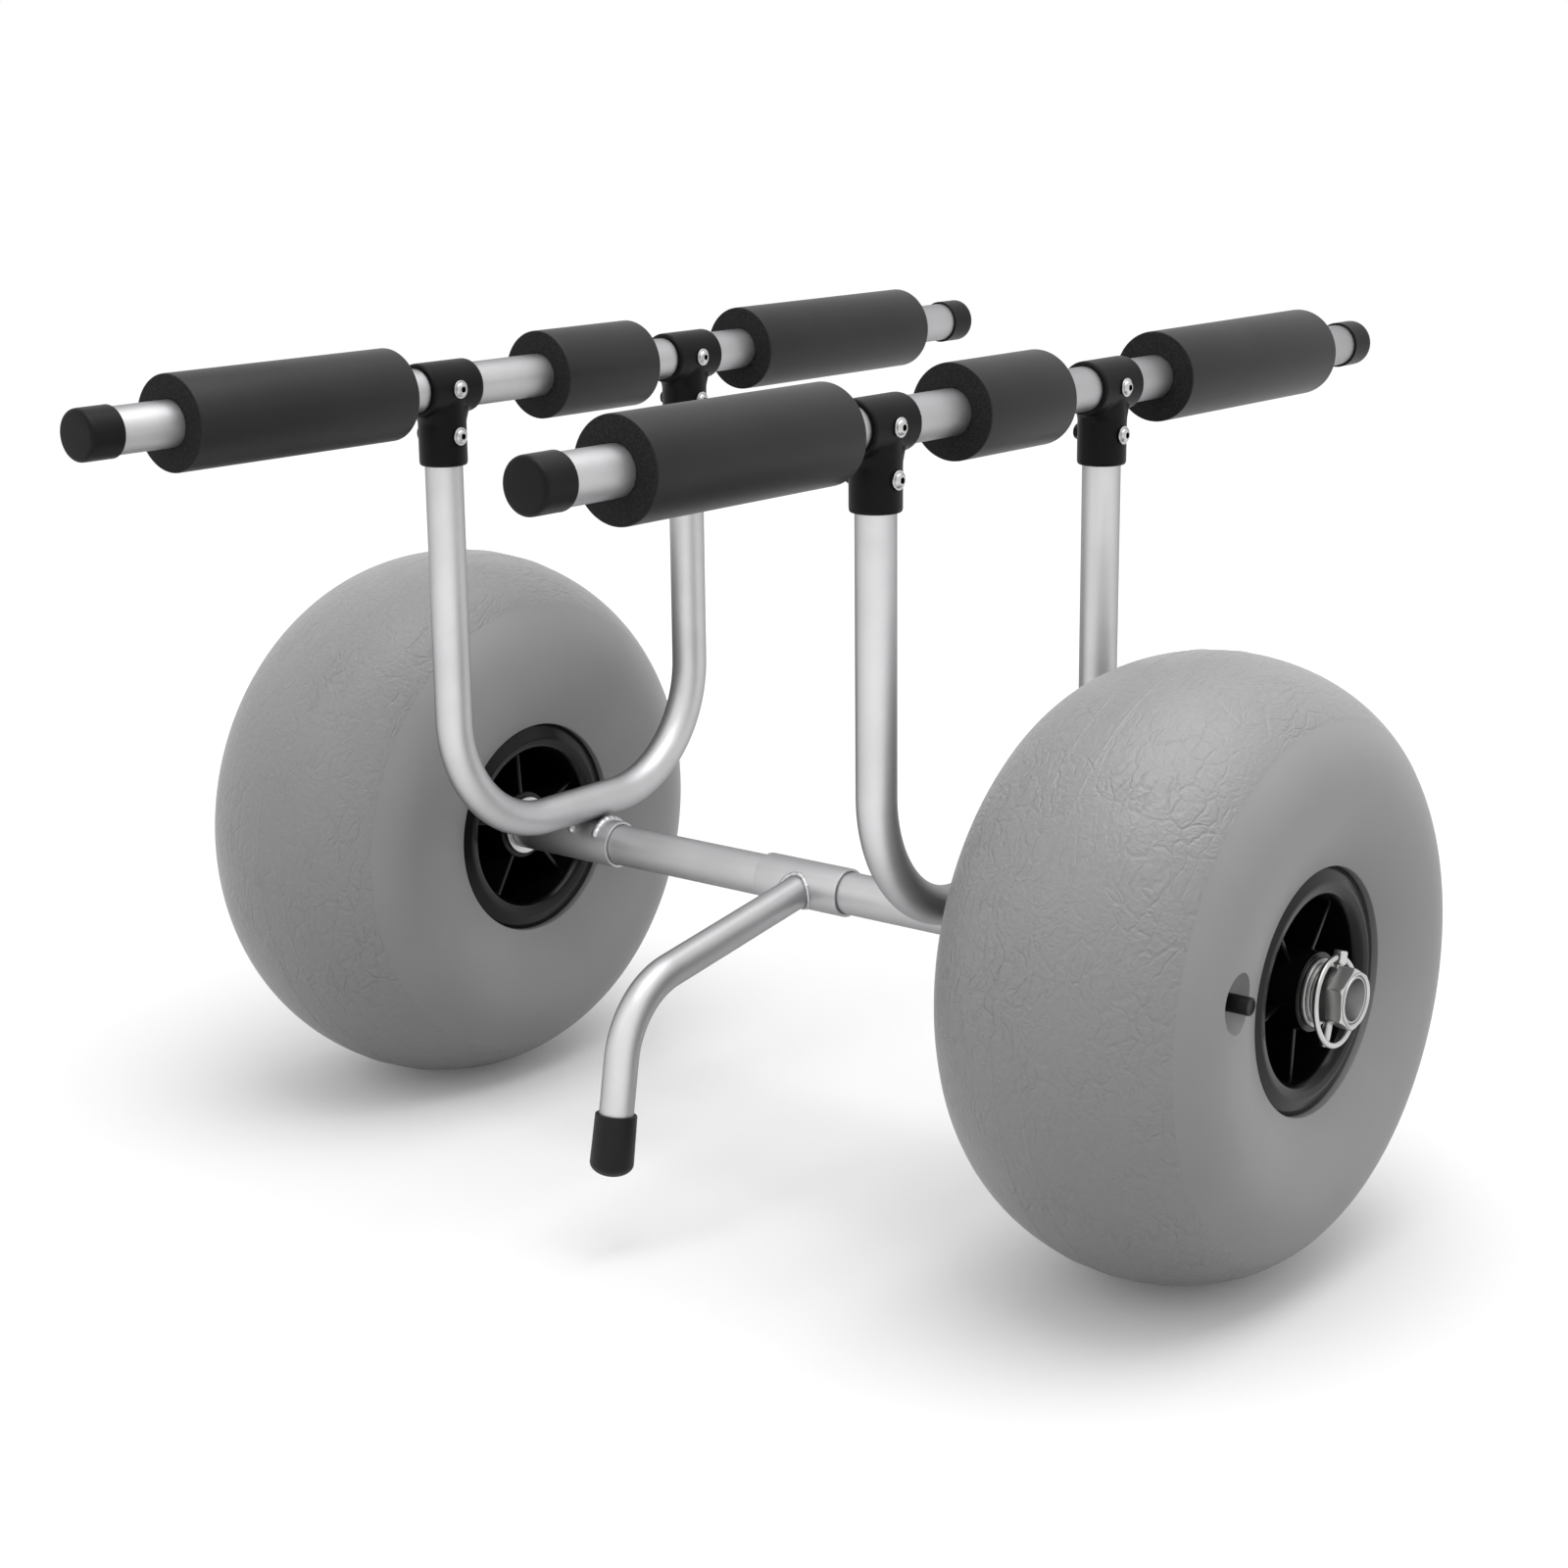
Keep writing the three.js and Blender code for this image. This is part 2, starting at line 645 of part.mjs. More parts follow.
// Sleeve about the axle with the weld bead round the foot of the kickstand's tube
function kickSleeveGeometry() {
  const bead = new THREE.TorusGeometry(kickTubeRadius + weldRadius / 3, weldRadius, wireSides, tubeSides);
  bead.translate(0, 0, sleeveRadius - kickWeldSink);
  const tube = alongZ(rod(kickTubeRadius + fitGap, -sleeveRadius, 2 * sleeveRadius, tubeSides));
  const ring = toSolid(bead).subtract(toSolid(tube));
  const turn = 90 + kickDrop;
  const half = kickSleeveLength / 2;
  return toGeometry(sleeveSolid(-half, half, [ring.rotate([turn, 0, 0])]));
}

// Rubber foot about +X: its mouth at zero, its domed end towards +X
function footGeometry() {
  const bore = kickTubeRadius + fitGap;
  const top = bore + footWall;
  const bottom = top + footFlare;
  const dome = bottom * footDomeShare;
  const floor = footLength - footBase;
  const points = [[floor, 0], [floor, bore], [0, bore], [0, top]];
  for (const [along, radius] of arcPoints(0, 0, 1, 0, 90, bendSteps - 3)) {
    points.push([footLength - dome + dome * radius, bottom * Math.max(along, 0)]);
  }
  points[points.length - 1][1] = 0;
  return turned(points, tubeSides);
}

function addKickstand(parent) {
  const stand = new THREE.Group();
  stand.position.x = kickPlace;
  parent.add(stand);
  addMesh(stand, 'kickstand_sleeve', kickSleeveGeometry(), finish(aluminium, 0.35, 0.9));
  addMesh(stand, 'kickstand_tube', kickTubeGeometry(), finish(aluminium, 0.35, 0.9));
  const [y, z] = kickLine().pop();
  const fall = radians(kickDrop + kickBend);
  const inside = footLength - footBase - fitGap;
  const foot = alongY(footGeometry()).rotateX(Math.PI + fall);
  foot.translate(0, inside * Math.cos(fall), inside * Math.sin(fall));
  addMesh(stand, 'kickstand_foot', foot, finish(blackPlastic, 0.8, 0), 0, y, z);
}

// Centre line of a U-shaped frame, as [y, z] from the axle's middle
function frameLine() {
  const middle = legOffset - axleOffset;
  const low = middle - legSpacing / 2 + frameBendRadius;
  const high = middle + legSpacing / 2 - frameBendRadius;
  const bendZ = frameBottom + frameBendRadius;
  const first = arcPoints(low, bendZ, frameBendRadius, 180, 270, bendSteps);
  const second = arcPoints(high, bendZ, frameBendRadius, 270, 360, bendSteps);
  const start = [first[0][0], legTop];
  const end = [second[second.length - 1][0], legTop];
  return [start, ...first, ...second, end];
}

function boltHole(y, z) {
  const reach = tubeDiameter + cutOverrun;
  return toSolid(rod(boltRadius + fitGap, -reach, reach, holeSides).translate(0, y, z));
}

function legPlaces() {
  return [legOffset - legSpacing / 2, legOffset + legSpacing / 2];
}

function frameTubeGeometry() {
  const tube = toSolid(bentTube(frameLine(), legRadius, legRadius - legWall, legSides));
  const holes = legPlaces().map((y) => boltHole(y - axleOffset, legBoltHeight - tyreRadius));
  return toGeometry(cutBy(tube, holes));
}

// Sleeve under a frame with a weld bead on each side of the tube, its outer end towards +X
function frameSleeveGeometry() {
  const low = sleeveRadius * Math.cos(radians(weldSpread));
  const wide = 2 * (weldPlace + weldRadius + cutOverrun);
  const box = new THREE.BoxGeometry(wide, wide * 2, 2 * sleeveRadius);
  const upper = toSolid(box.translate(0, 0, low + sleeveRadius));
  const tube = toSolid(alongY(rod(legRadius + fitGap, -wide, wide, tubeSides)).translate(0, 0, frameBottom));
  const beads = [];
  for (const place of [-weldPlace, weldPlace]) {
    const ring = new THREE.TorusGeometry(sleeveRadius, weldRadius, wireSides, tubeSides);
    const solid = toSolid(ring.rotateY(Math.PI / 2).translate(place, 0, 0));
    beads.push(solid.intersect(upper).subtract(tube));
  }
  const outerEnd = halfTrack - framePlace - bossInner - bushingFlange - 2 * fitGap;
  return toGeometry(sleeveSolid(-frameSleeveInner, outerEnd, beads));
}

// Flared web between the two sockets of a tee
function teeWeb() {
  const points = [];
  for (const [share, x] of [[0, teeLegRadius], [1, teeLegRadius - fitGap]]) {
    const reach = teeLegRadius + teeFillet * share;
    const z = -teeBarRadius - teeFillet * (1 - 2 * share);
    for (const { x: across, y: along } of circlePoints(1, legSides)) {
      points.push(new THREE.Vector3(x * across, reach * along, z));
    }
  }
  return toSolid(new ConvexGeometry(points));
}

// Tee about the bar's middle: a socket along Y for the bar and one downwards for the leg
function teeGeometry() {
  const half = teeLength / 2;
  const bar = toSolid(alongY(turned([
    [-half, 0],
    [-half, teeBarRadius - teeEdge],
    [-half + teeEdge, teeBarRadius],
    [half - teeEdge, teeBarRadius],
    [half, teeBarRadius - teeEdge],
    [half, 0],
  ], tubeSides)));
  const leg = toSolid(alongZ(turned([
    [-teeDrop, 0],
    [-teeDrop, teeLegRadius - teeEdge],
    [-teeDrop + teeEdge, teeLegRadius],
    [0, teeLegRadius],
    [0, 0],
  ], tubeSides)));
  const barBore = toSolid(alongY(rod(sleeveBore, -teeLength, teeLength, tubeSides)));
  const socketTop = -sleeveBore - teeCover;
  const legBore = rod(legRadius + fitGap, -teeDrop - cutOverrun, socketTop, tubeSides);
  const bores = [barBore, toSolid(alongZ(legBore)), boltHole(0, 0), boltHole(0, -legBoltDrop)];
  return toGeometry(cutBy(joined([bar, leg, teeWeb()]), bores));
}

// Flanged button-head bolt along +X through a fitting with its two faces at the given distance
function boltGeometry(face) {
  const under = face + fitGap;
  const end = -face - 2 * fitGap - nutHeight - boltEndProud;
  const top = under + boltHeadHeight;
  const body = toSolid(turned([
    [end, 0],
    [end, boltRadius],
    [under, boltRadius],
    [under, boltFlangeRadius],
    [under + boltFlange, boltFlangeRadius],
    [under + boltFlange, boltHeadRadius],
    [top, boltCrownRadius],
    [top, 0],
  ], smallSides));
  const key = rod(boltSocketWidth / Math.sqrt(3), top - boltSocketDepth, top + cutOverrun, 6);
  return toGeometry(body.subtract(toSolid(key)));
}

function nutGeometry(face) {
  const top = -face - fitGap;
  const bore = toSolid(rod(boltRadius + fitGap, top - nutHeight - cutOverrun, top + cutOverrun, holeSides));
  return toGeometry(toSolid(rod(nutWidth / Math.sqrt(3), top - nutHeight, top, 6)).subtract(bore));
}

// Cap about +Y: its closed end at the given place and its mouth towards the bar
function capGeometry() {
  const outer = sleeveBore + capWall;
  return alongY(turned([
    [-capBase, 0],
    [-capBase, sleeveBore],
    [-capLength, sleeveBore],
    [-capLength, outer],
    [-capEdge, outer],
    [-capEdge / 4, outer - capEdge / 3],
    [0, outer - capEdge],
    [0, 0],
  ], tubeSides));
}

// Ends of the three pads along a bar, by name
function padEnds(middlePadShift) {
  const [frontTee, rearTee] = legPlaces();
  const middle = legOffset + middlePadShift;
  return [
    ['front', frontPadInset - barLength / 2, frontTee - teeLength / 2 - frontPadGap],
    ['middle', middle - middlePadLength / 2, middle + middlePadLength / 2],
    ['rear', rearTee + teeLength / 2 + rearPadGap, barLength / 2 - rearPadInset],
  ];
}

// A flat facet of the pad lies uppermost, where the hull rests
function padGeometry(length) {
  return alongY(pipe(padDiameter / 2, sleeveBore, -length / 2, length / 2, tubeSides, true));
}

function barGeometry() {
  const half = barLength / 2 - capBase - fitGap;
  const bar = toSolid(alongY(pipe(tubeRadius, tubeRadius - tubeWall, -half, half, tubeSides)));
  return toGeometry(cutBy(bar, legPlaces().map((y) => boltHole(y, 0))));
}

// Everything above the legs of one frame, about the middle of its bar
function addBunk(parent, side, middlePadShift) {
  addMesh(parent, `${side}_bar`, barGeometry(), finish(aluminium, 0.35, 0.9));
  const ends = ['front', 'rear'];
  legPlaces().forEach((y, i) => {
    const name = `${side}_${ends[i]}`;
    addMesh(parent, `${name}_tee`, teeGeometry(), finish(blackPlastic, 0.6, 0), 0, y);
    for (const [tube, face, z] of [['bar', teeBarRadius, 0], ['leg', teeLegRadius, -legBoltDrop]]) {
      const bolt = finish(stainless, 0.25, 1);
      addMesh(parent, `${name}_${tube}_bolt`, boltGeometry(face), bolt, 0, y, z);
      addMesh(parent, `${name}_${tube}_nut`, nutGeometry(face), finish(blackPlastic, 0.6, 0), 0, y, z);
    }
  });
  const frontCap = capGeometry().rotateZ(Math.PI);
  addMesh(parent, `${side}_front_cap`, frontCap, finish(blackPlastic, 0.4, 0), 0, -barLength / 2);
  addMesh(parent, `${side}_rear_cap`, capGeometry(), finish(blackPlastic, 0.4, 0), 0, barLength / 2);
  for (const [place, from, to] of padEnds(middlePadShift)) {
    const foam = finish(foamBlack, 0.95, 0);
    addMesh(parent, `${side}_${place}_pad`, padGeometry(to - from), foam, 0, (from + to) / 2);
  }
}

function addFrame(parent, side, sign, middlePadShift) {
  const frame = new THREE.Group();
  frame.position.x = sign * framePlace;
  parent.add(frame);
  const tube = finish(aluminium, 0.35, 0.9);
  addMesh(frame, `${side}_frame_tube`, frameTubeGeometry(), tube, 0, axleOffset, tyreRadius);
  const sleeve = frameSleeveGeometry().rotateZ(sign > 0 ? 0 : Math.PI);
  addMesh(frame, `${side}_frame_sleeve`, sleeve, finish(aluminium, 0.35, 0.9), 0, axleOffset, tyreRadius);
  const bunk = new THREE.Group();
  bunk.position.z = barHeight;
  frame.add(bunk);
  addBunk(bunk, side, middlePadShift);
}

function buildCart() {
  const cart = new THREE.Group();
  const axle = new THREE.Group();
  axle.position.set(0, axleOffset, tyreRadius);
  cart.add(axle);
  addAxle(axle);
  addKickstand(axle);
  addFrame(cart, 'left', -1, leftMiddlePadShift);
  addFrame(cart, 'right', 1, rightMiddlePadShift);
  return cart;
}

export default buildCart();
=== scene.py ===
# Kayak cart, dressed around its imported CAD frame. Sizes are in millimetres and become metres in
# one place, toMesh. Every piece is drawn in the cart's own frame: +X along the axle from the left
# wheel to the right one, +Y along the bunk bars away from the kickstand, +Z up.

import math

import bmesh
import bpy
from mathutils import Matrix, Vector


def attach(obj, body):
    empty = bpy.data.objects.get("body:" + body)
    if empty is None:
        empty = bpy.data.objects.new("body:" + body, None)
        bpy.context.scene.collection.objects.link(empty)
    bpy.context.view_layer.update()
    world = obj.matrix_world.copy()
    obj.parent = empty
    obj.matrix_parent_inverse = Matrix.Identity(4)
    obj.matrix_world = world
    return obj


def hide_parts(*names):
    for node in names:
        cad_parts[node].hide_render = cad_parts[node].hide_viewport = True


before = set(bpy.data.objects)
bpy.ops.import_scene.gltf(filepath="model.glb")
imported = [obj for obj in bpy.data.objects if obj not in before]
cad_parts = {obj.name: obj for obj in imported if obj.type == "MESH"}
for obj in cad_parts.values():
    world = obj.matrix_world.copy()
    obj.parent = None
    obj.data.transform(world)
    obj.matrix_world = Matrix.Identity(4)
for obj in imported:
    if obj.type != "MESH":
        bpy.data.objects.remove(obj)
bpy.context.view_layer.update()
scene = bpy.context.scene
sides = {"left": -1, "right": 1}
axle = {"y": -7, "z": 210, "track": 686}

# Camera first: where the photograph was taken from
view = {
    "place": (1.2495, -1.5790, 0.7944),
    "forward": (-0.6044, 0.7575, -0.2467),
    "roll": -0.61,
    "lens": 65.36,
    "sensor": 36,
}


def makeCamera():
    data = bpy.data.cameras.new("photoCamera")
    data.sensor_fit = "AUTO"
    data.sensor_width = view["sensor"]
    data.lens = view["lens"]
    data.clip_end = 50
    camera = bpy.data.objects.new("photoCamera", data)
    scene.collection.objects.link(camera)
    turn = Vector(view["forward"]).to_track_quat("-Z", "Y").to_matrix().to_4x4()
    turn = turn @ Matrix.Rotation(math.radians(view["roll"]), 4, "Z")
    camera.matrix_world = Matrix.Translation(Vector(view["place"])) @ turn
    scene.camera = camera


makeCamera()
print("camera placed")


# Colours are sRGB hex; the shaders take them as linear
def linear(hexColour):
    channels = [int(hexColour[i:i + 2], 16) / 255 for i in (0, 2, 4)]
    return [c / 12.92 if c <= 0.04045 else ((c + 0.055) / 1.055) ** 2.4 for c in channels] + [1]


def grey(value):
    return (value, value, value, 1)


# Adds a node: settings, fixed inputs, linked inputs, and the stops if it is a ramp
def addNode(tree, kind, values=None, links=None, stops=(), **settings):
    node = tree.nodes.new(kind)
    for name, value in settings.items():
        setattr(node, name, value)
    for socket, value in (values or {}).items():
        node.inputs[socket].default_value = value
    for socket, source in (links or {}).items():
        tree.links.new(source, node.inputs[socket])
    for index, (place, colour) in enumerate(stops):
        elements = node.color_ramp.elements
        element = elements[index] if index < len(elements) else elements.new(place)
        element.position = place
        element.color = colour
    return node


def perMetre(millimetres):
    return 1000 / millimetres


def newMaterial(name, **shaderValues):
    material = bpy.data.materials.new(name)
    material.use_nodes = True
    tree = material.node_tree
    tree.nodes.clear()
    shader = addNode(tree, "ShaderNodeBsdfPrincipled", shaderValues)
    addNode(tree, "ShaderNodeOutputMaterial", links={"Surface": shader.outputs["BSDF"]})
    coordinates = addNode(tree, "ShaderNodeTexCoord")
    return material, tree, shader, coordinates


# A fine grain over a finish: it spreads the shine from smooth to rough, and stands up by a bump in mm
def grainOver(tree, shader, grain, smooth, rough, strength, bump):
    spread = addNode(tree, "ShaderNodeMapRange", {
        "From Min": 0.3, "From Max": 0.7, "To Min": smooth, "To Max": rough},
        {"Value": grain.outputs["Fac"]})
    tree.links.new(spread.outputs["Result"], shader.inputs["Roughness"])
    relief = addNode(tree, "ShaderNodeBump", {"Strength": strength, "Distance": bump / 1000},
                     {"Height": grain.outputs["Fac"]})
    tree.links.new(relief.outputs["Normal"], shader.inputs["Normal"])


# Anodised aluminium tube, drawn: satin, with faint blotches of handling and a fine etched grain. Its
# colour is darkened towards its outline: a painted reflection of the unlit sides of a studio, which
# such a tube mirrors there. The real grain is far under a tenth of a millimetre; it is drawn at
# 0.9 mm so that it shows.
def anodisedAluminium():
    look = {"colour": "dededf", "shade": "d6d6d7", "edge": "737376", "edgeBlend": 0.5, "grain": 0.9,
            "blotch": 45, "bump": 0.005, "smooth": 0.44, "rough": 0.52}
    material, tree, shader, coordinates = newMaterial("anodisedAluminium", Metallic=1.0)
    place = coordinates.outputs["Object"]
    blotch = addNode(tree, "ShaderNodeTexNoise", {"Scale": perMetre(look["blotch"]), "Detail": 3.0},
                     {"Vector": place})
    colour = addNode(tree, "ShaderNodeValToRGB", links={"Fac": blotch.outputs["Fac"]},
                     stops=[(0.35, linear(look["shade"])), (0.65, linear(look["colour"]))])
    # Painted reflection: the colour turns to the dark edge tone where the surface faces away from view
    turning = addNode(tree, "ShaderNodeLayerWeight", {"Blend": look["edgeBlend"]})
    paintedEdgeReflection = addNode(tree, "ShaderNodeMix", {7: linear(look["edge"])}, {
        0: turning.outputs["Facing"], 6: colour.outputs["Color"]}, data_type="RGBA")
    tree.links.new(paintedEdgeReflection.outputs[2], shader.inputs["Base Color"])
    grain = addNode(tree, "ShaderNodeTexNoise", {"Scale": perMetre(look["grain"]), "Detail": 4.0},
                    {"Vector": place})
    grainOver(tree, shader, grain, look["smooth"], look["rough"], 0.25, look["bump"])
    return material


# Stainless steel, turned and brushed: bright but satin, as the tool's fine lines spread its shine
def turnedStainless():
    look = {"colour": "c2c2c1", "line": 0.8, "bump": 0.003, "smooth": 0.32, "rough": 0.35}
    material, tree, shader, coordinates = newMaterial("turnedStainless", Metallic=1.0)
    shader.inputs["Base Color"].default_value = linear(look["colour"])
    lines = addNode(tree, "ShaderNodeTexNoise", {"Scale": perMetre(look["line"]), "Detail": 3.0},
                    {"Vector": coordinates.outputs["Object"]})
    grainOver(tree, shader, lines, look["smooth"], look["rough"], 0.05, look["bump"])
    return material


# Plastic or rubber out of an eroded mould, in black: a fine even grain with a little dust in it
def mouldedBlack(name, look):
    material, tree, shader, coordinates = newMaterial(name)
    shader.inputs["Specular IOR Level"].default_value = look["specular"]
    place = coordinates.outputs["Object"]
    cloud = addNode(tree, "ShaderNodeTexNoise", {
        "Scale": perMetre(blackLooks["dustPatch"]), "Detail": 4.0}, {"Vector": place})
    tint = addNode(tree, "ShaderNodeValToRGB", links={"Fac": cloud.outputs["Fac"]},
                   stops=[(0.35, linear(look["colour"])), (0.75, linear(look["dust"]))])
    tree.links.new(tint.outputs["Color"], shader.inputs["Base Color"])
    pits = addNode(tree, "ShaderNodeTexNoise", {"Scale": perMetre(look["grain"]), "Detail": 3.0},
                   {"Vector": place})
    grainOver(tree, shader, pits, look["rough"] - 0.04, look["rough"] + 0.06, 0.35, look["bump"])
    return material


# Closed-cell EVA foam: a smooth satin skin along the tube, and open cells where its ends were cut.
# The cells are really about half a millimetre across; they are drawn at 0.9 mm so that they show.
def closedCellFoam():
    look = {"skin": "1f1f20", "worn": "252526", "cut": "111112", "cell": "29292a", "cellSize": 0.9,
            "roughness": 0.44, "cutRoughness": 0.8, "specular": 0.26, "wear": 60, "wave": 22,
            "bump": 0.12}
    material, tree, shader, coordinates = newMaterial("closedCellFoam")
    shader.inputs["Specular IOR Level"].default_value = look["specular"]
    place = coordinates.outputs["Object"]
    parts = addNode(tree, "ShaderNodeSeparateXYZ", links={"Vector": coordinates.outputs["Normal"]})
    facing = addNode(tree, "ShaderNodeMath", links={0: parts.outputs["Y"]}, operation="ABSOLUTE")
    cutFace = addNode(tree, "ShaderNodeMath", {1: 0.9}, {0: facing.outputs[0]},
                      operation="GREATER_THAN")
    rough = addNode(tree, "ShaderNodeMapRange", {
        "To Min": look["roughness"], "To Max": look["cutRoughness"]}, {"Value": cutFace.outputs[0]})
    tree.links.new(rough.outputs["Result"], shader.inputs["Roughness"])
    wear = addNode(tree, "ShaderNodeTexNoise", {"Scale": perMetre(look["wear"]), "Detail": 5.0},
                   {"Vector": place})
    skin = addNode(tree, "ShaderNodeValToRGB", links={"Fac": wear.outputs["Fac"]},
                   stops=[(0.4, linear(look["skin"])), (0.8, linear(look["worn"]))])
    cells = addNode(tree, "ShaderNodeTexNoise", {"Scale": perMetre(look["cellSize"]), "Detail": 2.0},
                    {"Vector": place})
    cut = addNode(tree, "ShaderNodeValToRGB", links={"Fac": cells.outputs["Fac"]},
                  stops=[(0.42, linear(look["cut"])), (0.7, linear(look["cell"]))])
    colour = addNode(tree, "ShaderNodeMix", links={
        0: cutFace.outputs[0], 6: skin.outputs["Color"], 7: cut.outputs["Color"]}, data_type="RGBA")
    tree.links.new(colour.outputs[2], shader.inputs["Base Color"])
    wave = addNode(tree, "ShaderNodeTexNoise", {"Scale": perMetre(look["wave"]), "Detail": 3.0},
                   {"Vector": place})
    height = addNode(tree, "ShaderNodeMix", links={
        0: cutFace.outputs[0], 2: wave.outputs["Fac"], 3: cells.outputs["Fac"]}, data_type="FLOAT")
    bump = addNode(tree, "ShaderNodeBump", {"Strength": 0.5, "Distance": look["bump"] / 1000},
                   {"Height": height.outputs[0]})
    tree.links.new(bump.outputs["Normal"], shader.inputs["Normal"])
    return material


# Soft PVC, rotation moulded: smooth satin side walls in a neutral mid grey
def mouldedVinyl():
    look = {"colour": "949494", "bright": "9b9b9b", "cloud": 120, "pores": 1.2, "bump": 0.02,
            "roughness": 0.46}
    material, tree, shader, coordinates = newMaterial("mouldedVinyl", Roughness=look["roughness"])
    place = coordinates.outputs["Object"]
    cloud = addNode(tree, "ShaderNodeTexNoise", {"Scale": perMetre(look["cloud"]), "Detail": 4.0},
                    {"Vector": place})
    colour = addNode(tree, "ShaderNodeValToRGB", links={"Fac": cloud.outputs["Fac"]},
                     stops=[(0.3, linear(look["colour"])), (0.7, linear(look["bright"]))])
    tree.links.new(colour.outputs["Color"], shader.inputs["Base Color"])
    pores = addNode(tree, "ShaderNodeTexNoise", {"Scale": perMetre(look["pores"]), "Detail": 2.0},
                    {"Vector": place})
    bump = addNode(tree, "ShaderNodeBump", {"Strength": 0.3, "Distance": look["bump"] / 1000},
                   {"Height": pores.outputs["Fac"]})
    tree.links.new(bump.outputs["Normal"], shader.inputs["Normal"])
    return material


# The same vinyl on the tread band, where the mould was etched like hide: ripples 3 mm apart, creases
# 20 mm long that run around the tyre and into each other, and calmer patches a hand across
def grainedVinyl():
    look = {"colour": "8f8f90", "bright": "9a9a9a", "sway": 40, "swayBy": 30, "ripple": 3, "crease": 8,
            "length": 20, "creaseWidth": 0.13, "creaseShare": 0.5, "break": 30, "patch": 85, "calm": 0.5,
            "bump": 0.9, "roughness": 0.38}
    material, tree, shader, coordinates = newMaterial("grainedVinyl", Roughness=look["roughness"])
    place = coordinates.outputs["Object"]
    sway = addNode(tree, "ShaderNodeTexNoise", {"Scale": perMetre(look["sway"]), "Detail": 3.0},
                   {"Vector": place})
    bent = addNode(tree, "ShaderNodeVectorMath", {1: [look["swayBy"] / 1000] * 3},
                   {0: sway.outputs["Color"], 2: place}, operation="MULTIPLY_ADD")
    share = look["crease"] / look["length"]
    pulled = addNode(tree, "ShaderNodeMapping", {"Scale": (1.0, share, share)},
                     {"Vector": bent.outputs["Vector"]})
    hide = addNode(tree, "ShaderNodeTexVoronoi", {"Scale": perMetre(look["crease"])},
                   {"Vector": pulled.outputs["Vector"]}, feature="DISTANCE_TO_EDGE")
    groove = addNode(tree, "ShaderNodeMapRange", {
        "From Max": look["creaseWidth"], "To Min": look["creaseShare"], "To Max": 0.0},
        {"Value": hide.outputs["Distance"]}, interpolation_type="SMOOTHSTEP")
    broken = addNode(tree, "ShaderNodeTexNoise", {"Scale": perMetre(look["break"]), "Detail": 1.0},
                     {"Vector": place})
    keep = addNode(tree, "ShaderNodeMapRange", {"From Min": 0.32, "From Max": 0.54},
                   {"Value": broken.outputs["Fac"]})
    creases = addNode(tree, "ShaderNodeMath", links={
        0: groove.outputs["Result"], 1: keep.outputs["Result"]}, operation="MULTIPLY")
    ripples = addNode(tree, "ShaderNodeTexNoise", {
        "Scale": perMetre(look["ripple"]), "Detail": 2.0, "Distortion": 0.4},
        {"Vector": bent.outputs["Vector"]})
    patch = addNode(tree, "ShaderNodeTexNoise", {"Scale": perMetre(look["patch"]), "Detail": 2.0},
                    {"Vector": place})
    where = addNode(tree, "ShaderNodeMapRange", {
        "From Min": 0.38, "From Max": 0.62, "To Min": look["calm"]}, {"Value": patch.outputs["Fac"]})
    relief = addNode(tree, "ShaderNodeMath", links={
        0: ripples.outputs["Fac"], 1: creases.outputs[0]}, operation="SUBTRACT")
    height = addNode(tree, "ShaderNodeMath", links={0: relief.outputs[0], 1: where.outputs["Result"]},
                     operation="MULTIPLY")
    bump = addNode(tree, "ShaderNodeBump", {"Strength": 1.0, "Distance": look["bump"] / 1000},
                   {"Height": height.outputs[0]})
    tree.links.new(bump.outputs["Normal"], shader.inputs["Normal"])
    colour = addNode(tree, "ShaderNodeMix", {6: linear(look["colour"]), 7: linear(look["bright"])},
                     {0: ripples.outputs["Fac"]}, data_type="RGBA")
    tree.links.new(colour.outputs[2], shader.inputs["Base Color"])
    return material


blackLooks = {
    "dustPatch": 30,
    "glossyAbs": {"colour": "080809", "dust": "0e0e0f", "rough": 0.2, "specular": 0.19,
                  "grain": 1.2, "bump": 0.008},
    "mouldedNylon": {"colour": "0b0b0c", "dust": "101011", "rough": 0.42, "specular": 0.12,
                     "grain": 0.9, "bump": 0.03},
    "dippedVinyl": {"colour": "0d0d0d", "dust": "131313", "rough": 0.42, "specular": 0.16,
                    "grain": 1.5, "bump": 0.02},
    "mouldedRubber": {"colour": "131314", "dust": "1b1b1c", "rough": 0.5, "specular": 0.25,
                      "grain": 1.0, "bump": 0.05},
    "valveRubber": {"colour": "0b0b0b", "dust": "111111", "rough": 0.42, "specular": 0.2,
                    "grain": 0.8, "bump": 0.02},
}
blackOf = {"hub_plastic": "glossyAbs", "tee_plastic": "mouldedNylon", "cap_rubber": "dippedVinyl",
           "foot_rubber": "mouldedRubber", "valve_rubber": "valveRubber"}

# By the material slots of the CAD record
materials = {
    "aluminium": anodisedAluminium(),
    "stainless": turnedStainless(),
    **{slot: mouldedBlack(name, blackLooks[name]) for slot, name in blackOf.items()},
    "foam": closedCellFoam(),
    "tyre_rubber": mouldedVinyl(),
}
materials["bushing_metal"] = materials["stainless"]
treadMaterial = grainedVinyl()
print("materials mixed")


# A mesh object from points in millimetres
def toMesh(name, points, faces, slot):
    mesh = bpy.data.meshes.new(name)
    mesh.from_pydata([Vector(p) / 1000 for p in points], [], faces)
    solid = bmesh.new()
    solid.from_mesh(mesh)
    bmesh.ops.remove_doubles(solid, verts=solid.verts, dist=0.000001)
    bmesh.ops.recalc_face_normals(solid, faces=solid.faces)
    solid.to_mesh(mesh)
    solid.free()
    mesh.materials.append(materials[slot])
    piece = bpy.data.objects.new(name, mesh)
    scene.collection.objects.link(piece)
    soften(piece)
    return piece


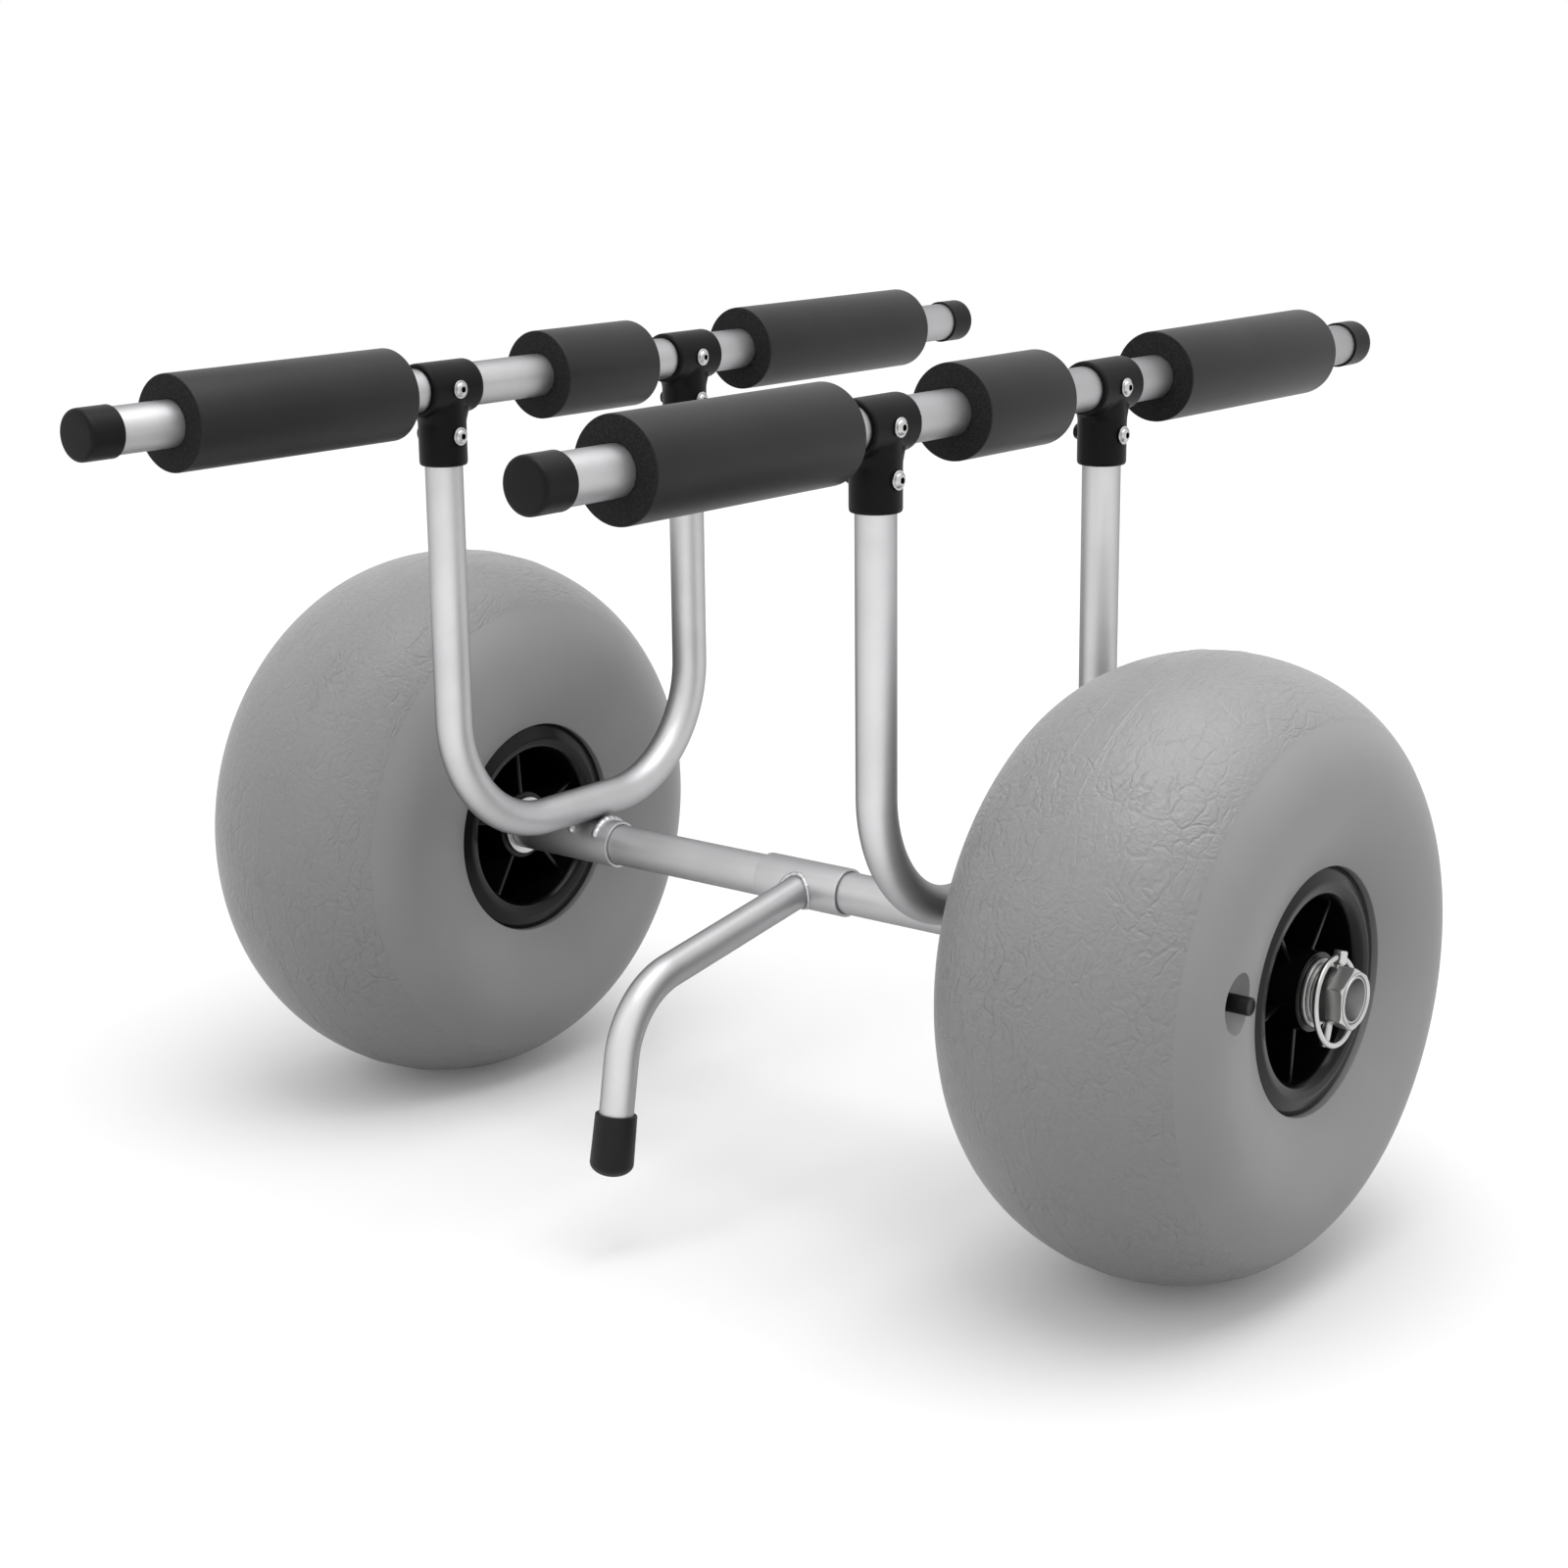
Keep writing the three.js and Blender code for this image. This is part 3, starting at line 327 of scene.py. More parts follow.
def soften(piece, sharpAngle=32):
    mesh = piece.data
    mesh.polygons.foreach_set("use_smooth", [True] * len(mesh.polygons))
    mesh.set_sharp_from_angle(angle=math.radians(sharpAngle))


# Rounds the corners of a profile: each entry is (along, across) or (along, across, rounding)
def rounded(profile, steps=5):
    closedLoop = profile[0][:2] == profile[-1][:2]
    corners = profile[:-1] if closedLoop else profile
    result = []
    for index, corner in enumerate(corners):
        here = Vector(corner[:2])
        rounding = corner[2] if len(corner) > 2 else 0
        inner = closedLoop or 0 < index < len(corners) - 1
        if not rounding or not inner:
            result.append(here)
            continue
        before = Vector(corners[index - 1][:2]) - here
        after = Vector(corners[(index + 1) % len(corners)][:2]) - here
        half = before.angle(after) / 2
        reach = min(rounding / math.tan(half), before.length * 0.49, after.length * 0.49)
        start, end = here + before.normalized() * reach, here + after.normalized() * reach
        for step in range(steps + 1):
            share = step / steps
            ends = start.lerp(here, share), here.lerp(end, share)
            result.append(ends[0].lerp(ends[1], share))
    if closedLoop:
        result.append(result[0].copy())
    return result


# Turns a profile about the X axis
def turned(name, profile, slot, facets=96, steps=5):
    line = rounded(profile, steps)
    closedLoop = (line[0] - line[-1]).length < 0.000001
    rows = line[:-1] if closedLoop else line
    points, faces = [], []
    for along, across in rows:
        for facet in range(facets):
            angle = 2 * math.pi * facet / facets
            points.append((along, across * math.sin(angle), across * math.cos(angle)))
    spans = len(rows) if closedLoop else len(rows) - 1
    for row in range(spans):
        following = (row + 1) % len(rows)
        for facet in range(facets):
            beside = (facet + 1) % facets
            faces.append((row * facets + facet, row * facets + beside,
                          following * facets + beside, following * facets + facet))
    return toMesh(name, points, faces, slot)


# A plain round or six-sided bar along X, mostly to cut holes with
def rod(name, start, end, radius, slot, facets=96):
    return turned(name, [(start, 0), (start, radius), (end, radius), (end, 0)], slot, facets)


def ringProfile(outer, inner, start, end, rounding=0.5):
    return [(start, inner, rounding / 2), (start, outer, rounding), (end, outer, rounding),
            (end, inner, rounding / 2), (start, inner, rounding / 2)]


def move(piece, matrix):
    local = matrix.copy()
    local.translation = local.translation / 1000
    piece.data.transform(local)
    return piece


def shift(x=0, y=0, z=0):
    return Matrix.Translation((x, y, z))


def turn(degrees, axis):
    return Matrix.Rotation(math.radians(degrees), 4, axis)


# A round tube along a line of points; its ends are eased by a small rounding
def swept(name, line, outer, inner, slot, facets=72, ease=0.5):
    path = [Vector(p) for p in line]
    first, last = path[1] - path[0], path[-1] - path[-2]
    path.insert(1, path[0] + first.normalized() * ease)
    path.insert(-1, path[-1] - last.normalized() * ease)
    normal = Vector((1, 0, 0))
    rings = []
    for index, here in enumerate(path):
        before = path[max(index - 1, 0)]
        after = path[min(index + 1, len(path) - 1)]
        direction = ((here - before).normalized() + (after - here).normalized()).normalized()
        normal = (normal - direction * normal.dot(direction)).normalized()
        across = direction.cross(normal)
        atEnd = index in (0, len(path) - 1)
        rings.append((here, normal.copy(), across, ease if atEnd else 0))
    points, faces = [], []
    for radius, sign in ((outer, -1), (inner, 1)):
        for here, normalHere, across, eased in rings:
            for facet in range(facets):
                angle = 2 * math.pi * facet / facets
                reach = radius + sign * eased
                points.append(here + (normalHere * math.cos(angle) + across * math.sin(angle)) * reach)
    count = len(rings)
    for shell in (0, 1):
        for row in range(count - 1):
            for facet in range(facets):
                a = (shell * count + row) * facets + facet
                b = (shell * count + row) * facets + (facet + 1) % facets
                faces.append((a, b, b + facets, a + facets))
    for row in (0, count - 1):
        for facet in range(facets):
            a, b = row * facets + facet, row * facets + (facet + 1) % facets
            faces.append((a, b, b + count * facets, a + count * facets))
    return toMesh(name, points, faces, slot)


# Adds pieces to a piece, or cuts them out of it, and leaves one closed mesh
def carve(piece, tools, operation="DIFFERENCE"):
    for tool in tools:
        change = piece.modifiers.new("carve", "BOOLEAN")
        change.operation = operation
        change.solver = "EXACT"
        change.object = tool
        applyAll(piece)
        bpy.data.objects.remove(tool)
    soften(piece)
    return piece


def roundEdges(piece, width, segments):
    edge = piece.modifiers.new("roundEdge", "BEVEL")
    edge.width, edge.segments = width / 1000, segments
    applyAll(piece)


def applyAll(piece):
    depsgraph = bpy.context.evaluated_depsgraph_get()
    result = bpy.data.meshes.new_from_object(piece.evaluated_get(depsgraph))
    piece.modifiers.clear()
    old = piece.data
    piece.data = result
    result.name = piece.name
    bpy.data.meshes.remove(old)


def copyPiece(piece, name, matrix):
    twin = piece.copy()
    twin.data = piece.data.copy()
    twin.name = name
    twin.data.name = name
    scene.collection.objects.link(twin)
    return move(twin, matrix)


# Puts a piece on its body, in place of the CAD nodes that it stands for
def seat(piece, body, slot, *nodes):
    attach(piece, body)
    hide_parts(*nodes)
    return piece


# Wheels: each is drawn about its own middle with its outer side towards +X, then put in place
wheelPlaces = {side: shift(sign * axle["track"] / 2, axle["y"], axle["z"])
               @ turn(90 - sign * 90, "Z") for side, sign in sides.items()}
wheelTurns = {"left": 180, "right": 0}  # degrees that each wheel has rolled

tyre = {
    "radius": 210, "half": 104, "widestAt": 136, "arcSteps": 84, "wallSteps": 16, "facets": 288,
    "bandHalf": 87, "bandRise": 0.25, "bandFade": 2, "bandFrom": 150,
    "ridges": {0: 0.3, -22: 0.35}, "ridgeHalf": 1.0,
    "beadX": 76.2, "seat": 68.3, "rim": 82.3, "edgeX": 89.5, "toe": 10, "toeTop": 96, "wall": 20,
    "dimple": {"at": 132, "angle": 167, "deep": 20.4, "long": 16.5, "wide": 20.9, "centre": 111.3},
}


def tyreRelief(x):
    share = (tyre["bandHalf"] + tyre["bandFade"] - abs(x)) / (2 * tyre["bandFade"])
    share = min(max(share, 0), 1)
    relief = tyre["bandRise"] * share * share * (3 - 2 * share)
    for place, rise in tyre["ridges"].items():
        relief += rise * max(0, 1 - abs(x - place) / tyre["ridgeHalf"])
    return relief


# The tread over the crown, from its right widest place to the left one, with the grain band proud
def tyreTread():
    across = tyre["half"] - 0.01
    rise = tyre["radius"] - tyre["widestAt"] - tyre["bandRise"]
    angles = [math.pi * step / tyre["arcSteps"] for step in range(tyre["arcSteps"] + 1)]
    places = list(tyre["ridges"]) + [tyre["bandHalf"], -tyre["bandHalf"]]
    for place in places:
        angles += [math.acos((place + step * 0.4) / across) for step in range(-5, 6)]
    line = []
    for angle in sorted(angles):
        point = Vector((across * math.cos(angle), tyre["widestAt"] + rise * math.sin(angle)))
        outwards = Vector((math.cos(angle) / across, math.sin(angle) / rise)).normalized()
        line.append(tuple(point + outwards * tyreRelief(point.x)))
    return line


# The side wall from its widest place in to the rim, the lip beside the rim, and the bead
def tyreWall(sign):
    points = []
    for step in range(1, tyre["wallSteps"]):
        depth = step / tyre["wallSteps"]
        points.append((tyre["half"] - (tyre["half"] - tyre["edgeX"]) * depth * depth,
                       tyre["widestAt"] + (tyre["rim"] - tyre["widestAt"]) * depth))
    points += [(tyre["edgeX"], tyre["rim"], 0.9), (tyre["beadX"], tyre["rim"], 0.4),
               (tyre["beadX"], tyre["seat"], 0.4)]
    return [(sign * point[0], *point[1:]) for point in points]


def tyreInside():
    across = tyre["half"] - tyre["wall"]
    rise = tyre["radius"] - tyre["widestAt"] - tyre["wall"]
    toeX, seat = tyre["beadX"] - tyre["toe"], tyre["seat"]
    line = [(-toeX, seat), (-toeX, tyre["toeTop"])]
    for step in range(25):
        angle = math.radians(210 - 240 * step / 24)
        line.append((across * math.cos(angle), tyre["widestAt"] + rise * math.sin(angle)))
    return line + [(toeX, tyre["toeTop"]), (toeX, seat)]


# The oval hollow that the valve stands in
def valveDimple():
    hollow = tyre["dimple"]
    arc = [(-math.cos(math.pi * step / 48), math.sin(math.pi * step / 48)) for step in range(49)]
    tool = turned("valveDimple", arc, "tyre_rubber")
    size = Matrix.Diagonal((hollow["deep"], hollow["long"], hollow["wide"], 1))
    return move(tool, turn(hollow["angle"], "X") @ shift(hollow["centre"], hollow["at"]) @ size)


def makeTyre():
    section = tyreTread() + tyreWall(-1) + tyreInside() + tyreWall(1)[::-1]
    piece = turned("tyre", section + section[:1], "tyre_rubber", tyre["facets"])
    piece.data.materials.append(treadMaterial)
    for face in piece.data.polygons:
        centre = face.center * 1000
        reach = math.hypot(centre.y, centre.z)
        face.material_index = int(abs(centre.x) < tyre["bandHalf"] and reach > tyre["bandFrom"])
    return carve(piece, [valveDimple()])


hub = {
    "half": 88.5, "rim": 82, "flange": 12, "seat": 68, "boss": 26.5, "bossInner": 76, "bore": 18.3,
    "web": 4, "ribs": 5, "ribTurn": 49.4, "ribThickness": 3.4, "ribEdge": 0.8,
    "ribInner": (75, 22.5), "ribOuter": (75, 65),
}


# One side of the hub from the tyre's bead over the rim into the dish: along, across, rounding
def hubSide(sign):
    half = hub["half"]
    points = [(half - hub["flange"], hub["seat"]), (half - hub["flange"], hub["rim"], 0.8),
              (half - 3.4, hub["rim"], 1.5), (half - 2, hub["rim"] - 4, 4), (half, 71, 7),
              (half - 1.2, 64.4, 5), (82, 60.8, 10), (12, 57.5, 10), (hub["web"], 52, 5)]
    return [(sign * point[0], *point[1:]) for point in points]


def hubRib(number, sign):
    (nearX, near), (farX, far) = hub["ribInner"], hub["ribOuter"]
    half = hub["ribThickness"] / 2
    outline = ((0, near), (nearX, near), (farX, far), (0, far))
    points = [(x, y, z) for z in (-half, half) for x, y in outline]
    faces = [(0, 1, 2, 3), (4, 5, 6, 7), (0, 1, 5, 4), (1, 2, 6, 5), (2, 3, 7, 6), (3, 0, 4, 7)]
    rib = toMesh("hubRib", points, faces, "hub_plastic")
    roundEdges(rib, hub["ribEdge"], 3)
    flip = turn(180, "Y") if sign < 0 else Matrix.Identity(4)
    return move(rib, turn(hub["ribTurn"] + number * 360 / hub["ribs"], "X") @ flip)


def makeHub():
    boss, bore, half = hub["boss"], hub["bore"], hub["half"]
    section = [(-hub["bossInner"], bore, 0.5), (-hub["bossInner"], boss, 1.5), (-hub["web"], boss, 4)]
    section += hubSide(-1)[::-1] + hubSide(1)
    section += [(hub["web"], boss, 4), (half, boss, 1.5), (half, bore, 0.5),
                (-hub["bossInner"], bore, 0.5)]
    piece = turned("hub", section, "hub_plastic", 160, steps=6)
    ribs = [hubRib(number, sign) for number in range(hub["ribs"]) for sign in (-1, 1)]
    return carve(piece, ribs, "UNION")


valve = {"radius": 5.8, "base": 89.2, "end": 112.2, "face": 4.2}


def makeValve():
    radius, end, face = valve["radius"], valve["end"], valve["face"]
    piece = turned("valve", [(valve["base"], 0), (valve["base"], radius), (end, radius, 1.1),
                             (end, face, 0.3), (end - 0.7, face - 0.3, 0.3), (end - 0.7, 0)],
                   "valve_rubber", 64)
    angle = math.radians(tyre["dimple"]["angle"])
    reach = tyre["dimple"]["at"]
    return move(piece, shift(0, reach * math.cos(angle), reach * math.sin(angle)))


bushing = {"barrel": 18, "length": 26, "flange": 22.5, "thickness": 2.4, "bore": 15.8}


def makeBushing(name):
    bore, flange, thick = bushing["bore"], bushing["flange"], bushing["thickness"]
    return turned(name, [(thick, bore, 0.5), (thick, flange, 0.7), (0, flange, 0.5),
                         (0, bushing["barrel"]), (-bushing["length"], bushing["barrel"], 0.4),
                         (-bushing["length"], bore, 0.4), (thick, bore, 0.5)],
                  "bushing_metal", 128)


def makeWheel(side):
    place, body = wheelPlaces[side], f"{side}_wheel"
    rolled = place @ turn(wheelTurns[side], "X")
    seat(move(makeTyre(), rolled), body, "tyre_rubber", f"{side}_tyre").name = f"{side}Tyre"
    seat(move(makeHub(), rolled), body, "hub_plastic", f"{side}_hub").name = f"{side}Hub"
    seat(move(makeValve(), rolled), body, "valve_rubber", f"{side}_valve").name = f"{side}Valve"
    outer = move(makeBushing(f"{side}OuterBushing"), place @ shift(hub["half"] + 0.3))
    inner = move(makeBushing(f"{side}InnerBushing"),
                 place @ shift(-hub["bossInner"] - 0.3) @ turn(180, "Z"))
    seat(outer, body, "bushing_metal", f"{side}_outer_bushing")
    seat(inner, body, "bushing_metal", f"{side}_inner_bushing")


for side in sides:
    makeWheel(side)
print("wheels done")


# What holds a wheel on: washer, hexagonal collar, and a linch pin with its ring
retainer = {
    "washerAt": 91.5, "washer": 20, "washerThickness": 1.6, "collarAt": 93.4, "pinAt": 100.0,
    "neck": 18, "neckLength": 11, "hexEnd": 22.5, "hexWidth": 36.6, "hexEdge": 0.6, "face": 17.9,
    "faceEnd": 23.7, "bore": 15.8, "mouth": 1.8, "tilt": 17,
}
linchPin = {"radius": 3, "tip": 33.47, "eye": 24.33, "eyeRadius": 2.6, "foot": 20.03, "top": 29.4,
            "width": 9, "thick": 6.4, "corner": 1.3, "edge": 0.7}
linchRing = {"radius": 28.3, "wire": 2, "drop": 27.87, "stand": 5.3}


# A bevelled hexagon, its corners turned away at both ends, with a round neck and a round face
def makeCollar(name):
    corner = retainer["hexWidth"] / math.sqrt(3)
    start, end = retainer["neckLength"], retainer["hexEnd"]
    prism = rod(name, start, end, corner, "stainless", 6)
    roundEdges(prism, retainer["hexEdge"], 1)
    blank = turned("blank", [(start - 1, 0), (start - 1, corner - 1.4), (start + 1, corner + 0.6),
                             (end - 2.2, corner + 0.6), (end + 1, 17.6), (end + 1, 0)], "stainless", 96)
    carve(prism, [blank], "INTERSECT")
    neck = turned("neck", [(0, 0), (0, retainer["neck"], 0.5), (start + 2, retainer["neck"]),
                           (start + 2, 0)], "stainless", 96)
    face = turned("face", [(start + 3, 0), (start + 3, retainer["face"]),
                           (retainer["faceEnd"], retainer["face"], 0.9), (retainer["faceEnd"], 0)],
                  "stainless", 96)
    carve(prism, [neck, face], "UNION")
    bore, faceEnd, mouth = retainer["bore"], retainer["faceEnd"], retainer["bore"] + retainer["mouth"]
    hole = turned("hole", [(-3, 0), (-3, bore), (faceEnd - 1.3, bore), (faceEnd + 0.7, mouth),
                           (faceEnd + 3, mouth), (faceEnd + 3, 0)], "stainless", 96)
    carve(prism, [hole, pinHole(retainer["pinAt"] - retainer["collarAt"])])
    soften(prism, 18)
    return prism


def pinHole(along):
    tool = rod("pinHole", -60, 60, linchPin["radius"] + 0.3, "stainless", 32)
    return move(tool, shift(along) @ turn(-retainer["tilt"], "X") @ turn(-90, "Y"))


# A round pin with a flat head above the collar; the ring's wire passes through the head
def makeLinchPin(name):
    radius, eye, tip, foot = (linchPin[key] for key in ("radius", "eye", "tip", "foot"))
    pin = turned(name, [(-tip, 0), (-tip, radius, 1.2), (foot + 1, radius), (foot + 1, 0)],
                 "stainless", 48)
    move(pin, turn(-90, "Y"))
    half, wide, top = linchPin["thick"] / 2, linchPin["width"] / 2, linchPin["top"]
    cut = linchPin["corner"]
    outline = [(-wide + 1.2, foot), (wide - 1.2, foot), (wide, foot + 1.2), (wide, top - cut),
               (wide - cut, top), (-wide + cut, top), (-wide, top - cut), (-wide, foot + 1.2)]
    corners = [(x, y, z) for x in (-half, half) for y, z in outline]
    count = len(outline)
    faces = [tuple(range(count)), tuple(range(count, 2 * count))]
    for step in range(count):
        beside = (step + 1) % count
        faces.append((step, beside, beside + count, step + count))
    head = toMesh("head", corners, faces, "stainless")
    roundEdges(head, linchPin["edge"], 3)
    carve(pin, [head], "UNION")
    hole = rod("eye", -9, 9, linchPin["eyeRadius"], "stainless", 32)
    return carve(pin, [move(hole, shift(0, 0, eye) @ turn(90, "Z"))])


def makeLinchRing(name):
    radius, wire = linchRing["radius"], linchRing["wire"]
    circle = [(wire * math.cos(step * math.pi / 12), radius + wire * math.sin(step * math.pi / 12))
              for step in range(24)]
    ring = turned(name, circle + circle[:1], "stainless", 144)
    lean = -math.degrees(math.asin(linchRing["stand"] / (2 * radius)))
    return move(ring, shift(0, 0, linchPin["eye"]) @ turn(lean, "Y") @ shift(0, 0, -linchRing["drop"]))


for side in sides:
    place = wheelPlaces[side]
    washerAt = retainer["washerAt"]
    washer = turned(f"{side}ThrustWasher", ringProfile(retainer["washer"], retainer["bore"], washerAt,
                    washerAt + retainer["washerThickness"], 0.4), "stainless", 128)
    seat(move(washer, place), "axle", "stainless", f"{side}_thrust_washer")
    collar = move(makeCollar(f"{side}AxleCollar"), place @ shift(retainer["collarAt"]))
    seat(collar, "axle", "stainless", f"{side}_axle_collar")
    lean = place @ shift(retainer["pinAt"]) @ turn(-retainer["tilt"], "X")
    seat(move(makeLinchPin(f"{side}LinchPin"), lean), "axle", "stainless", f"{side}_linch_pin")
    ring = move(makeLinchRing(f"{side}LinchRing"), lean)
    seat(ring, f"{side}_ring", "stainless", f"{side}_linch_ring")

tubes = {"outer": 15.5, "inner": 13.9, "axleEnd": 458.6, "sleeve": 17.8, "sleeveBore": 15.8}
axleMiddle = shift(0, axle["y"], axle["z"])
axleTube = turned("axleTube", ringProfile(tubes["outer"], tubes["inner"], -tubes["axleEnd"],
                  tubes["axleEnd"], 0.5), "aluminium", 128)
move(axleTube, axleMiddle)
for side in sides:
    carve(axleTube, [move(pinHole(retainer["pinAt"]), wheelPlaces[side])])
seat(axleTube, "axle", "aluminium", "axle_tube")
print("axle done")


# A weld bead: overlapping drops along a line, melted into one rippled run
def weldBead(name, drops):
    bead = bmesh.new()
    for point, radius in drops:
        place = Matrix.Translation(Vector(point) / 1000)
        bmesh.ops.create_icosphere(bead, subdivisions=3, radius=radius / 1000, matrix=place)
    mesh = bpy.data.meshes.new(name)
    bead.to_mesh(mesh)
    bead.free()
    mesh.materials.append(materials["aluminium"])
    piece = bpy.data.objects.new(name, mesh)
    scene.collection.objects.link(piece)
    melt = piece.modifiers.new("melt", "REMESH")
    melt.mode, melt.voxel_size = "VOXEL", 0.0005
    ease = piece.modifiers.new("ease", "SMOOTH")
    ease.factor, ease.iterations = 0.5, 4
    applyAll(piece)
    soften(piece, 80)
    return piece


# The radii of a weld's drops, each a little more or less than the last
def rippled(count, radius):
    return [radius * (1 + 0.07 * math.sin(step * 2.1) + 0.03 * math.sin(step * 5.3))
            for step in range(count)]


stand = {
    "x": 17.5, "sleeveHalf": 37, "tube": 12, "tubeInner": 10, "reach": 203.6, "drop": 9, "bend": 71,
    "bendRadius": 62, "leg": 118, "bead": 1.9, "drops": 44, "weldRadius": 13.0, "cope": 17.2,
    "foot": {"length": 43.5, "base": 7, "mouth": 14.5, "widest": 15.2, "dome": 9.4},
}


# The tube's middle line from the sleeve through its bend to the foot, seen from the side
def standLine():
    drop, fall = math.radians(stand["drop"]), math.radians(stand["drop"] + stand["bend"])
    corner = Vector((-stand["reach"] * math.cos(drop), -stand["reach"] * math.sin(drop)))
    share = 1 - stand["bendRadius"] * math.tan(math.radians(stand["bend"]) / 2) / stand["reach"]
    start = corner * share
    centre = start + Vector((math.sin(drop), -math.cos(drop))) * stand["bendRadius"]
    line = [(0, 0, 0)]
    for step in range(33):
        angle = math.radians(90 + stand["drop"] + stand["bend"] * step / 32)
        line.append((0, centre.x + stand["bendRadius"] * math.cos(angle),
                     centre.y + stand["bendRadius"] * math.sin(angle)))
    end = corner - Vector((math.cos(fall), math.sin(fall))) * stand["leg"]
    return line + [(0, end.x, end.y)]


def makeStand():
    place = shift(stand["x"], axle["y"], axle["z"])
    half = stand["sleeveHalf"]
    sleeve = turned("kickstandSleeve", ringProfile(tubes["sleeve"], tubes["sleeveBore"], -half, half),
                    "aluminium", 128)
    seat(move(sleeve, place), "kickstand", "aluminium", "kickstand_sleeve")
    line = standLine()
    tube = swept("kickstandTube", line, stand["tube"], stand["tubeInner"], "aluminium")
    carve(tube, [rod("cope", -20, 20, stand["cope"], "aluminium")])  # cut round to meet the sleeve
    seat(move(tube, place), "kickstand", "aluminium", "kickstand_tube")
    drops = []
    for step, radius in enumerate(rippled(stand["drops"], stand["bead"])):
        angle = 2 * math.pi * step / stand["drops"]
        across, up = stand["weldRadius"] * math.cos(angle), stand["weldRadius"] * math.sin(angle)
        away = math.sqrt(tubes["sleeve"] ** 2 - up ** 2)
        drops.append(((across, -away + 0.4, up), radius))
    bead = move(weldBead("kickstandWeld", drops), place @ turn(stand["drop"], "X"))
    seat(bead, "kickstand", "aluminium", "kickstand_sleeve")
    foot = stand["foot"]
    bore, length, base = stand["tube"] + 0.3, foot["length"], foot["length"] - foot["base"]
    section = [(base, 0), (base, bore), (0, bore, 0.6), (0, foot["mouth"], 0.9)]
    for step in range(13):
        angle = math.pi / 2 * step / 12
        section.append((length - foot["dome"] + foot["dome"] * math.sin(angle),
                        foot["widest"] * math.cos(angle)))
    section[-1] = (length, 0)
    piece = turned("kickstandFoot", section, "foot_rubber", 96)
    fall = stand["drop"] + stand["bend"]
    inside = length - foot["base"] - 0.3
    downwards = Vector((0, -math.cos(math.radians(fall)), -math.sin(math.radians(fall))))
    mouthPlace = Vector(line[-1]) - downwards * inside
    move(piece, place @ shift(*mouthPlace) @ turn(fall, "X") @ turn(-90, "Z"))
    seat(piece, "kickstand", "foot_rubber", "kickstand_foot")


makeStand()
print("kickstand done")


# The U frames and what they carry
framePart = {
    "x": 190.5, "leg": 13.5, "legInner": 11.5, "bendRadius": 93, "low": -56.55, "high": 20.95,
    "bottom": 31.6, "top": 345.7, "legs": (-156.55, 106.95), "sleeveInner": 24.6, "sleeveOuter": 73.5,
    "weldAt": 12.2, "weld": 3.5, "weldSpread": 56, "dropEvery": 5, "boltDrop": 33, "boltHole": 3.3,
}
bunk = {"z": 573, "half": 470.7, "end": 474}


# The U's middle line from the top of its front leg to the top of its rear one
def frameLine():
    radius, centreZ = framePart["bendRadius"], framePart["bottom"] + framePart["bendRadius"]
    line = [(0, framePart["low"] - radius, framePart["top"])]
    for centre, start in ((framePart["low"], 180), (framePart["high"], 270)):
        for step in range(33):
            angle = math.radians(start + 90 * step / 32)
            line.append((0, centre + radius * math.cos(angle), centreZ + radius * math.sin(angle)))
    return line + [(0, framePart["high"] + radius, framePart["top"])]


def boltHole(y, z):
    tool = rod("boltHole", -40, 40, framePart["boltHole"], "stainless", 32)
    return move(tool, shift(0, y, z))


def makeFrameTube(name):
    tube = swept(name, frameLine(), framePart["leg"], framePart["legInner"], "aluminium")
    height = bunk["z"] - framePart["boltDrop"] - axle["z"]
    holes = [boltHole(y - axle["y"], height) for y in framePart["legs"]]
    return carve(tube, holes)


# The weld runs over the top of the sleeve, a drop every few degrees
def frameWeld(name, along):
    spread, every, reach = framePart["weldSpread"], framePart["dropEvery"], tubes["sleeve"]
    drops = []
    for step, radius in enumerate(rippled(2 * spread // every + 1, framePart["weld"])):
        angle = math.radians(step * every - spread)
        drops.append(((along, reach * math.sin(angle), reach * math.cos(angle)), radius))
    return weldBead(name, drops)


# The tee is moulded in one: its two sockets are melted together, then bored
tee = {"half": 25, "bar": 18.9, "barBore": 15.8, "leg": 17.2, "legBore": 13.8, "drop": 54.5,
       "socketTop": -17, "webReach": 5, "webLevels": ((0, -5), (0.45, -1), (1, 5)), "voxel": 0.9}


